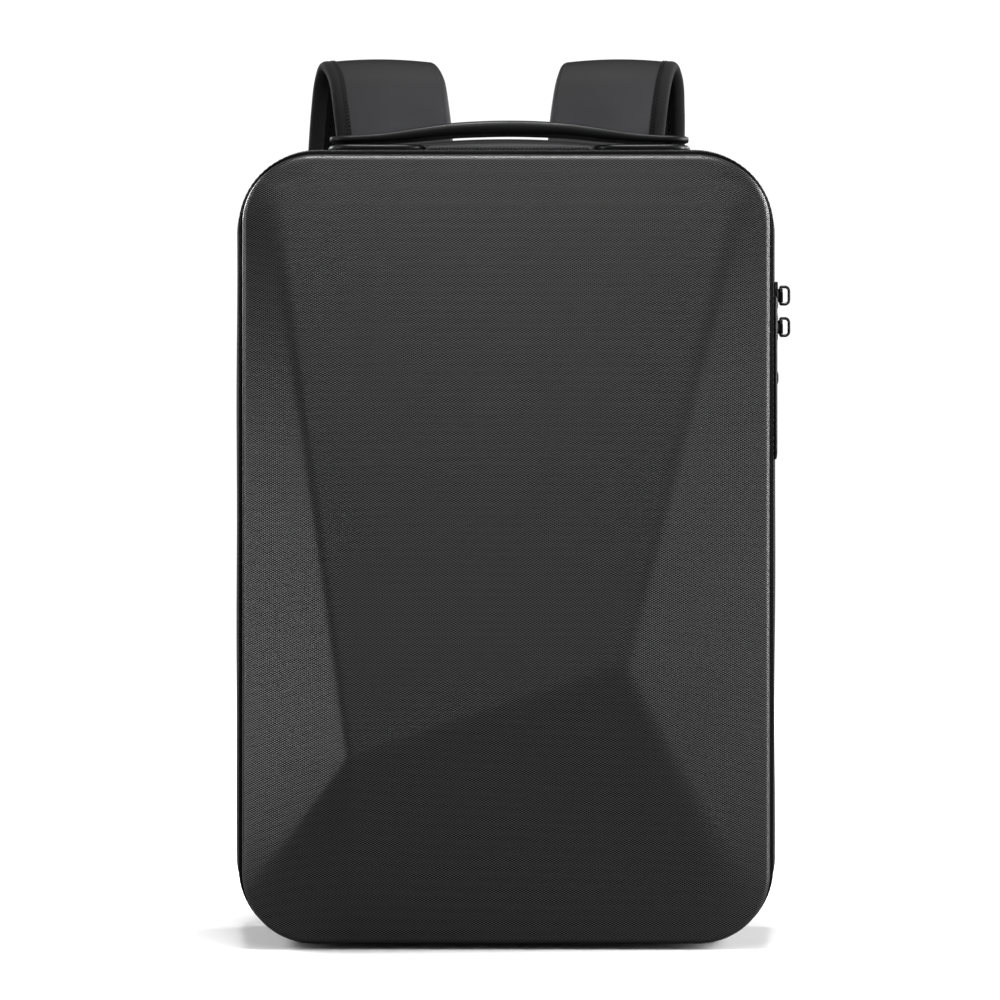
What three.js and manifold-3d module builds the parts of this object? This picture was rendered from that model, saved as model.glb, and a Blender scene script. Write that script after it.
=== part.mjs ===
// Hard shell backpack: a moulded, faceted front shell on a fabric body with a zip, handle and padded straps.
// Millimetres. X runs across, Y from front to back, Z up from the floor. The origin is under the fabric body.
import * as THREE from 'three';
import Module from 'manifold-3d';
import { mergeVertices } from 'three/addons/utils/BufferGeometryUtils.js';

const wasm = await Module();
wasm.setup();

// Shared clearance between pieces that touch
const gap = 0.3;

// Outline of the bag, seen from the front
const bagWidth = 309.4;
const bagHeight = 460;
const cornerRadius = 44;

// Front shell. The origin lies bodyReach behind its rear edge
const bodyReach = 54;
const shellSideDepth = 32;
const shellWall = 3;
const sideDraft = 5.2;
const edgeRadius = 3.5;
const lipDepth = 3.2;
const lipRise = 1.8;
const peakRelief = 30;
const shellRear = -bodyReach;
const shellFront = shellRear - shellSideDepth;

// The two peaks where the front facets meet, and where their creases run out at the corners
const peaks = {
  left: { across: -0.57, up: 0.241, relief: 1 },
  right: { across: 0.429, up: 0.353, relief: 0.853 },
};
const creaseAngles = { topLeft: 131, lowLeft: 200, lowRight: 324.5, topRight: 45 };

// Fabric body. at is the share of its depth, side of its bulge, top of its rise, crown of its rear arch
const bodyDepth = 84;
const sideBulge = 6.5;
const topRise = 3.2;
const topCrown = 12.5;
const crownHalfWidth = 114;
const fabricWall = 2;
const bodyRows = [
  { at: 0.0, side: 0.14, top: 0.12, crown: 0 },
  { at: 0.2, side: 0.14, top: 0.62, crown: 0 },
  { at: 0.32, side: 0.28, top: 1.0, crown: 0 },
  { at: 0.62, side: 1.0, top: 1.0, crown: 0 },
  { at: 0.82, side: 0.95, top: 0.78, crown: 1 },
  { at: 1.0, side: 0.77, top: 0.47, crown: 1 },
];

// Zip
const zipPlace = 0.262;
const zipTapeWidth = 9.4;
const zipTapeThickness = 1;
const zipTapeSink = 1;
const zipTeethWidth = 4.2;
const zipTeethCrest = 2.5;
const zipTeethHeight = 1.9;

// Zip sliders on the right side, and their D pulls
const sliderLength = 16;
const sliderWidth = 9;
const sliderThickness = 2.1;
const sliderSpacing = 18.5;
const sliderHeight = 368.5;
const sliderBevel = 0.4;
const lugLength = 4;
const lugWidth = 3.8;
const lugHeight = 2.9;
const pullWire = 1.3;
const pullLength = 10.6;
const pullReach = 5.4;
const pullCorner = 2.4;

// Half of a slider's outline. out and along are shares of half its width and length
const sliderRows = [
  { out: 0.6, along: -1 },
  { out: 1, along: -0.7 },
  { out: 1, along: 0.3 },
  { out: 0.55, along: 1 },
];

// Side plate
const plateLength = 95.7;
const plateWidth = 12.6;
const plateThickness = 2.2;
const plateHeight = 329;
const plateBevel = 0.7;
const rivetRadius = 3.6;
const rivetRise = 0.7;

// The rivet's profile. out and up are shares of its radius and rise
const rivetRows = [
  { out: 0, up: 0 },
  { out: 1, up: 0 },
  { out: 1, up: 0.4 },
  { out: 0.7, up: 0.8 },
  { out: 0, up: 1 },
];

// Carrying handle and its base
const handleLength = 212;
const handleWidth = 26;
const handleThickness = 8.8;
const handleRise = 18.7;
const handleDrop = 9.9;
const handleShift = 2;
const handlePlace = 0.452;
const handleRoundness = 0.42;
const basePlateLength = 57.5;
const basePlateWidth = 24;
const basePlateThickness = 3.8;
const basePlateOverhang = 1;
const basePlateBevel = 1.1;
const postRadius = 3.6;
const postSetIn = 10;
const bandClearance = 1.6;
const bandWidth = 22;
const bandThickness = 3.6;
const bandCorner = 1.4;
const bandCrown = 0.8;

// Half the handle, from its middle out. Shares of its half length, its drop, its thickness and its width
const handleRows = [
  { reach: 0.0, drop: 0.0, thick: 1.0, wide: 1.0 },
  { reach: 0.16, drop: 0.04, thick: 0.99, wide: 1.0 },
  { reach: 0.32, drop: 0.16, thick: 0.93, wide: 1.0 },
  { reach: 0.5, drop: 0.44, thick: 0.8, wide: 0.98 },
  { reach: 0.66, drop: 0.73, thick: 0.61, wide: 0.94 },
  { reach: 0.82, drop: 0.91, thick: 0.455, wide: 0.9 },
  { reach: 0.93, drop: 0.95, thick: 0.41, wide: 0.82 },
  { reach: 0.98, drop: 0.96, thick: 0.385, wide: 0.6 },
  { reach: 1.0, drop: 1.0, thick: 0.295, wide: 0.4 },
];

// Back panel
const panelThickness = 12.5;
const panelTuck = 1.4;
const panelFootLift = 6;
const pipingRadius = 2.3;
const panelRows = [
  { at: 0.0, inset: 0.6 },
  { at: 0.12, inset: 0.0 },
  { at: 0.5, inset: 0.8 },
  { at: 0.78, inset: 5.5 },
  { at: 0.94, inset: 14.0 },
  { at: 1.0, inset: 26.0 },
];

// Shoulder straps
const strapWidth = 70;
const strapThickness = 9;
const strapRise = 62.5;
const strapReach = 41;
const strapSpread = 92;
const strapShift = -3.3;
const strapEdgeRadius = 3.4;
const strapSteps = 26;
const strapTop = bagHeight + strapRise;

// out is the share of the spread, back of the reach, up of the top height, wide and thick of the section
const strapRows = [
  { out: 0.674, back: 0.0, up: 0.819, wide: 1.0, thick: 0.34 },
  { out: 0.68, back: 0.0, up: 0.861, wide: 1.0, thick: 0.36 },
  { out: 0.691, back: 0.01, up: 0.903, wide: 1.0, thick: 0.85 },
  { out: 0.723, back: 0.075, up: 0.953, wide: 1.0, thick: 1.0 },
  { out: 0.757, back: 0.235, up: 0.984, wide: 1.0, thick: 0.86 },
  { out: 0.785, back: 0.465, up: 1.0, wide: 1.0, thick: 0.8 },
  { out: 0.815, back: 0.72, up: 0.986, wide: 1.0, thick: 0.86 },
  { out: 0.845, back: 0.83, up: 0.953, wide: 1.0, thick: 1.0 },
  { out: 0.885, back: 0.925, up: 0.88, wide: 1.0, thick: 1.0 },
  { out: 0.945, back: 1.0, up: 0.766, wide: 0.97, thick: 1.0 },
  { out: 0.99, back: 0.975, up: 0.632, wide: 0.89, thick: 1.0 },
  { out: 1.0, back: 0.855, up: 0.498, wide: 0.8, thick: 1.0 },
  { out: 1.03, back: 0.71, up: 0.39, wide: 0.62, thick: 0.72 },
];

// Twill tape round each strap's outer edge
const bindingCover = 8.6;
const bindingThickness = 0.9;
const bindingSteps = 3;

// Sewn patches over the straps' roots
const anchorHeight = 22;
const anchorThickness = 2;
const anchorMargin = 4;
const patchRoundness = 0.45;

// Ladder-lock buckles and lower webbing
const buckleWidth = 34;
const buckleHeight = 24;
const buckleThickness = 2.4;
const buckleBar = 3;
const buckleSide = 3.5;
const buckleCorner = 3;
const webbingWidth = 24;
const webbingThickness = 1.4;
const webbingTail = 60;
const webbingTailFlare = 1.6;
const webbingLead = 4;
const webbingSag = 2;
const webbingTurnSteps = 5;
const tabWidth = 36;
const tabHeight = 21;
const tabThickness = 1.8;
const tabAcross = 112;
const tabUp = 37.4;

// How the webbing comes down to its tab. up is in tab heights over its middle, lift in webbing thicknesses
const webbingFootRows = [
  { up: 1.73, lift: 3.6 },
  { up: 0.87, lift: 0.43 },
  { up: 0.62, lift: 0 },
  { up: -0.37, lift: 0 },
];

// Sides of small round pieces, and how close two corners lie that are one
const roundSides = 12;
const mergeDistance = 1e-4;

// Colours and finishes
const finishes = {
  shell: { color: 0x2b2b2d, roughness: 0.5, metalness: 0 },
  fabric: { color: 0x1c1c1e, roughness: 0.9, metalness: 0 },
  strapFabric: { color: 0x343437, roughness: 0.75, metalness: 0 },
  mesh: { color: 0x111112, roughness: 0.95, metalness: 0 },
  tape: { color: 0x161617, roughness: 0.9, metalness: 0 },
  rubber: { color: 0x1d1d1f, roughness: 0.5, metalness: 0 },
  plastic: { color: 0x151516, roughness: 0.4, metalness: 0 },
  metal: { color: 0x0e0e0f, roughness: 0.3, metalness: 0.8 },
};

const backpack = new THREE.Group();

function addPiece(name, geometry, finish) {
  const material = new THREE.MeshStandardMaterial(finishes[finish]);
  const mesh = new THREE.Mesh(geometry, material);
  mesh.name = name;
  backpack.add(mesh);
}

// A closed skin made from loops of points, and from single points where facets meet
class Skin {
  points = [];
  faces = [];

  add(point) {
    this.points.push(point);
    return this.points.length - 1;
  }

  addLoop(points) {
    return points.map((point) => this.add(point));
  }

  bridge(from, to) {
    from.forEach((corner, i) => {
      const next = (i + 1) % from.length;
      this.faces.push([corner, from[next], to[next]], [corner, to[next], to[i]]);
    });
  }

  // Fills a loop, whose flat picture may run either way round. turned is for a skin's first loop
  cap(loop, flat, turned) {
    const flip = THREE.ShapeUtils.area(flat) < 0 !== turned;
    for (const [a, b, c] of THREE.ShapeUtils.triangulateShape(flat, [])) {
      this.faces.push(flip ? [loop[c], loop[b], loop[a]] : [loop[a], loop[b], loop[c]]);
    }
  }

  geometry() {
    const corners = this.faces.map((face) => face.map((i) => this.points[i]));
    const cross = new THREE.Vector3();
    const volume = corners.reduce((sum, [a, b, c]) => sum + a.dot(cross.crossVectors(b, c)), 0);
    const faces = volume < 0 ? this.faces.map((face) => [...face].reverse()) : this.faces;
    const geometry = new THREE.BufferGeometry().setFromPoints(this.points);
    geometry.setIndex(faces.flat());
    geometry.computeVertexNormals();
    return geometry;
  }
}

// Stations walk once round the outline: each has an arc's centre and the angle that the edge faces there
const stations = [];
const mark = {};

function walk(from, to, steps) {
  for (let i = 0; i < steps; i += 1) {
    const share = i / steps;
    stations.push({
      x: from.x + (to.x - from.x) * share,
      z: from.z + (to.z - from.z) * share,
      angle: from.angle + (to.angle - from.angle) * share,
    });
  }
}

function walkOutline() {
  const right = bagWidth / 2 - cornerRadius;
  const left = -right;
  const low = cornerRadius;
  const high = bagHeight - cornerRadius;
  const leftPeak = peakPlace(peaks.left);
  const rightPeak = peakPlace(peaks.right);
  const { topLeft, lowLeft, lowRight, topRight } = creaseAngles;
  const corner = (x, z, angle) => ({ x, z, angle });

  mark.topLeft = stations.length;
  walk(corner(left, high, topLeft), corner(left, high, 180), 3);
  walk(corner(left, high, 180), corner(left, leftPeak.z, 180), 4);
  mark.leftFoot = stations.length;
  walk(corner(left, leftPeak.z, 180), corner(left, low, 180), 1);
  walk(corner(left, low, 180), corner(left, low, lowLeft), 1);
  mark.lowLeft = stations.length;
  walk(corner(left, low, lowLeft), corner(left, low, 270), 4);
  walk(corner(left, low, 270), corner(leftPeak.x, low, 270), 1);
  mark.leftBase = stations.length;
  walk(corner(leftPeak.x, low, 270), corner(rightPeak.x, low, 270), 2);
  mark.rightBase = stations.length;
  walk(corner(rightPeak.x, low, 270), corner(right, low, 270), 1);
  walk(corner(right, low, 270), corner(right, low, lowRight), 3);
  mark.lowRight = stations.length;
  walk(corner(right, low, lowRight), corner(right, low, 360), 2);
  walk(corner(right, low, 0), corner(right, rightPeak.z, 0), 1);
  mark.rightFoot = stations.length;
  walk(corner(right, rightPeak.z, 0), corner(right, high, 0), 4);
  walk(corner(right, high, 0), corner(right, high, topRight), 2);
  mark.topRight = stations.length;
  walk(corner(right, high, topRight), corner(right, high, 90), 3);
  walk(corner(right, high, 90), corner(left, high, 90), 8);
  walk(corner(left, high, 90), corner(left, high, topLeft), 2);
}

function peakPlace({ across, up }) {
  return { x: (across * bagWidth) / 2, z: up * bagHeight };
}

// One loop round the bag at depth y, outside the outline by side, top and bottom
function outlineLoop(y, { side, top = side, bottom = side, crown = 0 }) {
  return stations.map(({ x, z, angle }) => {
    const facing = THREE.MathUtils.degToRad(angle);
    const rise = Math.sin(facing);
    const px = x + (cornerRadius + side) * Math.cos(facing);
    const arch = rise > 0 ? crown * Math.max(0, 1 - (px / crownHalfWidth) ** 2) : 0;
    const pz = z + (cornerRadius + (rise > 0 ? top : bottom)) * rise + arch;
    return new THREE.Vector3(px, y, pz);
  });
}

function flatLoop(loop) {
  return loop.map((point) => new THREE.Vector2(point.x, point.z));
}

// How far the fabric body stands outside the outline at depth y
function bodyAt(y) {
  const share = THREE.MathUtils.clamp((y - shellRear) / bodyDepth, 0, 1);
  const next = Math.max(1, bodyRows.findIndex((row) => row.at >= share));
  const a = bodyRows[next - 1];
  const b = bodyRows[next];
  const part = (share - a.at) / (b.at - a.at);
  const blend = (name) => a[name] + (b[name] - a[name]) * part;
  return { side: blend('side') * sideBulge, top: blend('top') * topRise, crown: blend('crown') * topCrown };
}

// One loop round the body's skin, lifted off it everywhere but underneath, where it stands on the floor
function liftedLoop({ y, lift }) {
  const body = bodyAt(y);
  return outlineLoop(y, { ...body, side: body.side + lift, top: body.top + lift, bottom: Math.min(lift, 0) });
}

// A band right round the body: its section is a list of depths and lifts over the body's skin
function band(section) {
  const skin = new Skin();
  const loops = section.map((corner) => skin.addLoop(liftedLoop(corner)));
  loops.forEach((loop, i) => skin.bridge(loop, loops[(i + 1) % loops.length]));
  return skin.geometry();
}

// The stations from one mark on to the next, past the start of the list where need be
function run(from, to) {
  const length = (to - from + stations.length) % stations.length;
  return Array.from({ length: length + 1 }, (_, i) => (from + i) % stations.length);
}

// A band over a part of the way round, closed at both its ends
function openBand(section, from, to) {
  const skin = new Skin();
  const loops = section.map(liftedLoop);
  const slices = run(from, to).map((station) => skin.addLoop(loops.map((loop) => loop[station])));
  slices.slice(1).forEach((slice, i) => skin.bridge(slices[i], slice));
  const flat = section.map(({ y, lift }) => new THREE.Vector2(y, lift));
  skin.cap(slices[0], flat, true);
  skin.cap(slices.at(-1), flat, false);
  return skin.geometry();
}

// The facets span from the front edge's loop to the two peaks. Side creases run straight from corner to peak
function addFacets(skin, loop, leftPeak, rightPeak, turned) {
  const faces = [];
  const fan = (apex, from, to) => {
    const rim = run(from, to);
    rim.slice(1).forEach((station, i) => faces.push([apex, loop[rim[i]], loop[station]]));
  };
  const crease = (peak, end, rim) => {
    const a = skin.points[peak];
    const b = skin.points[loop[end]];
    return rim.map((station) => {
      const share = (skin.points[loop[station]].z - a.z) / (b.z - a.z);
      return skin.add(a.clone().lerp(b, share));
    });
  };
  const ladder = (rim, rungs) => {
    rim.slice(1).forEach((station, i) => {
      faces.push([rungs[i], loop[rim[i]], loop[station]]);
      if (rungs[i] !== rungs[i + 1]) faces.push([rungs[i], loop[station], rungs[i + 1]]);
    });
  };

  const rightRim = run(mark.rightFoot, mark.topRight);
  const rightCrease = crease(rightPeak, mark.topRight, rightRim.slice(1, -1));
  ladder(rightRim.slice(0, -1), [rightPeak, ...rightCrease]);
  faces.push([rightCrease.at(-1), loop[rightRim.at(-2)], loop[mark.topRight]]);

  const leftRim = run(mark.topLeft, mark.leftFoot);
  const leftCrease = crease(leftPeak, mark.topLeft, leftRim.slice(1, -1));
  faces.push([leftCrease[0], loop[mark.topLeft], loop[leftRim[1]]]);
  ladder(leftRim.slice(1), [...leftCrease, leftPeak]);

  fan(leftPeak, mark.leftFoot, mark.leftBase);
  fan(leftPeak, mark.leftBase, mark.leftBase + 1);
  faces.push([leftPeak, loop[mark.leftBase + 1], rightPeak]);
  fan(rightPeak, mark.leftBase + 1, mark.rightFoot);

  const centre = [
    ...run(mark.topRight, mark.topLeft).map((station) => loop[station]),
    ...leftCrease,
    leftPeak,
    rightPeak,
    ...rightCrease,
  ];
  skin.faces.push(...faces.map((face) => (turned ? face.reverse() : face)));
  skin.cap(centre, flatLoop(centre.map((i) => skin.points[i])), turned);
}

// The shell is a tray: lip at the rear, leaning side wall, rounded front edge and four facets
function makeFrontShell() {
  const skin = new Skin();
  const wallInset = lipRise + sideDraft - edgeRadius;
  const faceInset = wallInset + edgeRadius;
  const lipFront = shellRear - lipDepth;
  const chamfer = lipRise / 3;
  const section = [
    { y: shellFront + shellWall, inset: faceInset + shellWall / 2 },
    { y: shellFront + edgeRadius + shellWall, inset: wallInset + shellWall },
    { y: shellRear, inset: lipRise + shellWall },
    { y: shellRear, inset: chamfer },
    { y: shellRear - chamfer, inset: 0 },
    { y: lipFront + chamfer, inset: 0 },
    { y: lipFront, inset: chamfer },
    { y: lipFront, inset: lipRise },
  ];
  const arcSteps = 3;
  for (let i = 0; i <= arcSteps; i += 1) {
    const turn = (i / arcSteps) * (Math.PI / 2);
    section.push({
      y: shellFront + edgeRadius * (1 - Math.sin(turn)),
      inset: wallInset + edgeRadius * (1 - Math.cos(turn)),
    });
  }
  const loops = section.map(({ y, inset }) => skin.addLoop(outlineLoop(y, { side: -inset })));
  loops.slice(1).forEach((loop, i) => skin.bridge(loops[i], loop));
  const addPeak = (peak, lowered) => {
    const { x, z } = peakPlace(peak);
    return skin.add(new THREE.Vector3(x, shellFront - peakRelief * peak.relief + lowered, z));
  };
  addFacets(skin, loops[0], addPeak(peaks.left, shellWall), addPeak(peaks.right, shellWall), true);
  addFacets(skin, loops.at(-1), addPeak(peaks.left, 0), addPeak(peaks.right, 0), false);
  return skin.geometry();
}

// A wall of the body between two depths, following each row of the body's table on the way
function fabricBand(front, rear) {
  const between = bodyRows.map((row) => shellRear + row.at * bodyDepth).filter((y) => y > front && y < rear);
  const depths = [front, ...between, rear];
  const outer = depths.map((y) => ({ y, lift: 0 }));
  const inner = depths.map((y) => ({ y, lift: -fabricWall })).reverse();
  return band([...outer, ...inner]);
}

const zipCentre = shellRear + zipPlace * bodyDepth;
const tapeFront = zipCentre - zipTapeWidth / 2;
const tapeRear = zipCentre + zipTapeWidth / 2;
const bodyRear = shellRear + bodyDepth;

function makeZipTape() {
  const outer = -zipTapeSink;
  const inner = outer - zipTapeThickness;
  return band([
    { y: tapeFront, lift: outer },
    { y: tapeRear, lift: outer },
    { y: tapeRear, lift: inner },
    { y: tapeFront, lift: inner },
  ]);
}

// The teeth run up one side, over the top and down the other. Underneath, the tape is the bag's hinge
function makeZipTeeth() {
  const low = gap - zipTapeSink;
  const high = low + zipTeethHeight;
  const section = [
    { y: zipCentre - zipTeethWidth / 2, lift: low },
    { y: zipCentre - zipTeethCrest / 2, lift: high },
    { y: zipCentre + zipTeethCrest / 2, lift: high },
    { y: zipCentre + zipTeethWidth / 2, lift: low },
  ];
  return openBand(section, mark.lowRight, mark.lowLeft);
}

// The bag's rear face stands at panelBack, where the straps' roots are sewn on
const panelFront = bodyRear + gap;
const panelBack = panelFront + panelThickness;

function makeBackPanel() {
  const skin = new Skin();
  const body = bodyAt(bodyRear);
  const points = panelRows.map(({ at, inset }) => {
    const side = panelTuck - inset;
    const top = body.top - panelTuck - inset;
    const bottom = -panelFootLift - inset;
    return outlineLoop(panelFront + at * panelThickness, { side, top, bottom, crown: body.crown });
  });
  const loops = points.map((loop) => skin.addLoop(loop));
  loops.slice(1).forEach((loop, i) => skin.bridge(loops[i], loop));
  skin.cap(loops[0], flatLoop(points[0]), true);
  skin.cap(loops.at(-1), flatLoop(points.at(-1)), false);
  return skin.geometry();
}

function makeRearPiping() {
  const skin = new Skin();
  const body = bodyAt(bodyRear);
  const clear = gap + pipingRadius;
  const loops = roundSection(pipingRadius, 6).map(([out, back]) => {
    const offsets = {
      side: panelTuck + clear + out,
      top: body.top - panelTuck + clear + out,
      bottom: -panelFootLift + clear + out,
      crown: body.crown,
    };
    return skin.addLoop(outlineLoop(panelFront + pipingRadius + back, offsets));
  });
  loops.forEach((loop, i) => skin.bridge(loop, loops[(i + 1) % loops.length]));
  return skin.geometry();
}

// Carries a section along a path. Its u side always lies along the hint
function sweep(path, hint, sectionAt, closed = false) {
  const skin = new Skin();
  const last = path.length - 1;
  const sections = path.map((_, i) => sectionAt(i / last));
  const loops = path.map((point, i) => {
    const before = path[i > 0 ? i - 1 : closed ? last : 0];
    const after = path[i < last ? i + 1 : closed ? 0 : last];
    const { across, outward } = frameAlong(after.clone().sub(before), hint);
    const place = ([u, v]) => point.clone().addScaledVector(across, u).addScaledVector(outward, v);
    return skin.addLoop(sections[i].map(place));
  });
  loops.slice(1).forEach((loop, i) => skin.bridge(loops[i], loop));
  if (closed) {
    skin.bridge(loops[last], loops[0]);
    return skin.geometry();
  }
  const flat = (section) => section.map(([u, v]) => new THREE.Vector2(u, v));
  skin.cap(loops[0], flat(sections[0]), true);
  skin.cap(loops[last], flat(sections[last]), false);
  return skin.geometry();
}

// The section stays square to the hint, so that flat straps have flat faces
function frameAlong(direction, across) {
  const outward = across.clone().cross(direction).normalize();
  const along = outward.clone().cross(across);
  return { along, across, outward };
}

const acrossHint = new THREE.Vector3(1, 0, 0);

// A bar's section: a rectangle with rounded corners, walked once round
function barSection(width, thickness, radius, steps = 2) {
  const r = Math.min(radius, width / 2, thickness / 2);
  const corners = [
    { u: width / 2 - r, v: thickness / 2 - r, from: 0 },
    { u: r - width / 2, v: thickness / 2 - r, from: 90 },
    { u: r - width / 2, v: r - thickness / 2, from: 180 },
    { u: width / 2 - r, v: r - thickness / 2, from: 270 },
  ];
  return corners.flatMap(({ u, v, from }) =>
    Array.from({ length: steps + 1 }, (_, i) => {
      const turn = THREE.MathUtils.degToRad(from + (90 * i) / steps);
      return [u + r * Math.cos(turn), v + r * Math.sin(turn)];
    }),
  );
}

function roundSection(radius, sides = 8) {
  return Array.from({ length: sides }, (_, i) => {
    const turn = (i / sides) * 2 * Math.PI;
    return [radius * Math.cos(turn), radius * Math.sin(turn)];
  });
}

// The handle's middle lies this far back, over its base plates
const handleY = shellRear + handlePlace * bodyDepth;
const baseSkin = bagHeight + bodyAt(handleY).top;
const plateTop = baseSkin + gap + basePlateThickness;
const handleTop = baseSkin + handleRise;
const basePlateMiddle = handleLength / 2 + basePlateOverhang - basePlateLength / 2;

// One of the handle's cross sections, with its top and its underside
function handleSection({ reach, drop, thick, wide }) {
  const top = handleTop - drop * handleDrop;
  const thickness = thick * handleThickness;
  return { x: (reach * handleLength) / 2, top, under: top - thickness, thickness, width: wide * handleWidth };
}

// The handle is a moulded strap: thick and arched in the middle, thin at its rounded ends
function makeTopHandle() {
  const half = handleRows.map(handleSection);
  const rows = [...half.slice(1).reverse().map((row) => ({ ...row, x: -row.x })), ...half];
  const path = rows.map(({ x, top, under }) => new THREE.Vector3(x + handleShift, handleY, (top + under) / 2));
  const sectionAt = (share) => {
    const { thickness, width } = rows[Math.round(share * (rows.length - 1))];
    return barSection(width, thickness, thickness * handleRoundness);
  };
  return sweep(path, new THREE.Vector3(0, 1, 0), sectionAt);
}

// A flat plate with round ends and bevelled faces, long along X and rising along Z until it is turned
function stadiumPlate(length, width, thickness, bevel) {
  const r = width / 2 - bevel;
  const half = length / 2 - width / 2;
  const shape = new THREE.Shape();
  shape.absarc(half, 0, r, -Math.PI / 2, Math.PI / 2, false);
  shape.absarc(-half, 0, r, Math.PI / 2, (3 * Math.PI) / 2, false);
  shape.closePath();
  const geometry = new THREE.ExtrudeGeometry(shape, {
    depth: thickness - 2 * bevel,
    curveSegments: 4,
    bevelThickness: bevel,
    bevelSize: bevel,
    bevelSegments: 1,
  });
  geometry.translate(0, 0, bevel);
  return geometry;
}

function handleUnderside(x) {
  const rows = handleRows.map(handleSection);
  const next = Math.max(1, rows.findIndex((row) => row.x >= x));
  const a = rows[next - 1];
  const b = rows[next];
  return a.under + ((b.under - a.under) * (x - a.x)) / (b.x - a.x);
}

function addHandle() {
  addPiece('top_handle', makeTopHandle(), 'rubber');
  for (const [name, way] of [['left', -1], ['right', 1]]) {
    const plate = stadiumPlate(basePlateLength, basePlateWidth, basePlateThickness, basePlateBevel);
    plate.translate(way * basePlateMiddle + handleShift, handleY, baseSkin + gap);
    addPiece(`handle_plate_${name}`, plate, 'plastic');

    const postX = handleLength / 2 - postSetIn;
    const postBottom = plateTop + gap;
    const postHeight = handleUnderside(postX + postRadius) - gap - postBottom;
    const post = new THREE.CylinderGeometry(postRadius, postRadius, postHeight, roundSides);
    post.rotateX(Math.PI / 2);
    post.translate(way * postX + handleShift, handleY, postBottom + postHeight / 2);
    addPiece(`handle_post_${name}`, post, 'plastic');
  }
}

// Raised band of fabric between the handle's plates, a little higher in its middle
function makeTopBand() {
  const half = basePlateMiddle - basePlateLength / 2 - bandClearance;
  const steps = 6;
  const path = Array.from({ length: steps + 1 }, (_, i) => {
    const share = (2 * i) / steps - 1;
    const rise = baseSkin + gap + bandThickness / 2;
    return new THREE.Vector3(share * half + handleShift, handleY, rise);
  });
  const sectionAt = (share) => {
    const crown = bandCrown * (1 - (2 * share - 1) ** 2);
    const top = barSection(bandWidth, bandThickness, bandCorner);
    return top.map(([u, v]) => [u, v > 0 ? v + crown : v]);
  };
  return sweep(path, new THREE.Vector3(0, -1, 0), sectionAt);
}

// The straps hang from the back panel in mirror image, both moved a little to one side as they fell
function strapPath(way) {
  const points = strapRows.map(({ out, back, up, thick }) => {
    const lying = panelBack + 2 * gap + bindingThickness + (thick * strapThickness) / 2;
    return new THREE.Vector3(way * out * strapSpread + strapShift, lying + back * strapReach, up * strapTop);
  });
  return new THREE.CatmullRomCurve3(points);
}

const strapSizes = new THREE.CatmullRomCurve3(
  strapRows.map(({ wide, thick }) => new THREE.Vector3(wide * strapWidth, thick * strapThickness, 0)),
);

function strapStations(way) {
  const curve = strapPath(way);
  return Array.from({ length: strapSteps + 1 }, (_, i) => curve.getPoint(i / strapSteps));
}

function makeStrap(way) {
  return sweep(strapStations(way), acrossHint, (share) => {
    const size = strapSizes.getPoint(share);
    return barSection(size.x, size.y, strapEdgeRadius);
  });
}

// The binding is a channel round the outer edge: over the front, round the edge and back under
function makeBinding(way) {
  return sweep(strapStations(way), acrossHint, (share) => {
    const size = strapSizes.getPoint(share);
    const side = (lift) => {
      const r = Math.min(strapEdgeRadius, size.y / 2);
      const edge = size.x / 2 - r;
      const flat = size.y / 2 - r;
      const inner = [edge + r - bindingCover, size.y / 2 + lift];
      const arc = Array.from({ length: bindingSteps + 1 }, (_, i) => {
        const turn = Math.PI / 2 - (i / bindingSteps) * (Math.PI / 2);
        return [edge + (r + lift) * Math.cos(turn), flat + (r + lift) * Math.sin(turn)];
      });
      const upper = [inner, ...arc];
      return [...upper, ...upper.map(([u, v]) => [u, -v]).reverse()];
    };
    const section = [...side(gap + bindingThickness), ...side(gap).reverse()];
    return section.map(([u, v]) => [way * u, v]);
  });
}

// A patch sewn flat on the rear face, over what it holds
function makePatch(x, z, width, height, thickness, standOff) {
  const section = barSection(width, thickness, thickness * patchRoundness);
  const y = panelBack + standOff + thickness / 2;
  const path = [0.5, -0.5].map((share) => new THREE.Vector3(x, y, z + share * height));
  return sweep(path, acrossHint, () => section);
}

function addStrap(name, way) {
  addPiece(`strap_${name}`, makeStrap(way), 'strapFabric');
  addPiece(`strap_binding_${name}`, makeBinding(way), 'tape');

  const root = strapStations(way)[0];
  const rootThickness = strapRows[0].thick * strapThickness;
  const standOff = root.y - panelBack + rootThickness / 2 + 2 * gap + bindingThickness;
  const width = strapWidth + 2 * anchorMargin;
  addPiece(
    `strap_anchor_${name}`,
    makePatch(root.x, root.z, width, anchorHeight, anchorThickness, standOff),
    'fabric',
  );
  addLowerWebbing(name, way);
}

// Local places on a buckle: down runs along the strap from its end, out away from the bag
function buckleFrame(way) {
  const stationsDown = strapStations(way);
  const end = stationsDown.at(-1);
  const { along, across, outward } = frameAlong(end.clone().sub(stationsDown.at(-2)), acrossHint);
  const out = outward.y > 0 ? outward : outward.clone().negate();
  const at = (down, lift, over = 0) =>
    end.clone().addScaledVector(along, down).addScaledVector(out, lift).addScaledVector(across, over);
  return { at, along, across, out };
}

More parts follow.
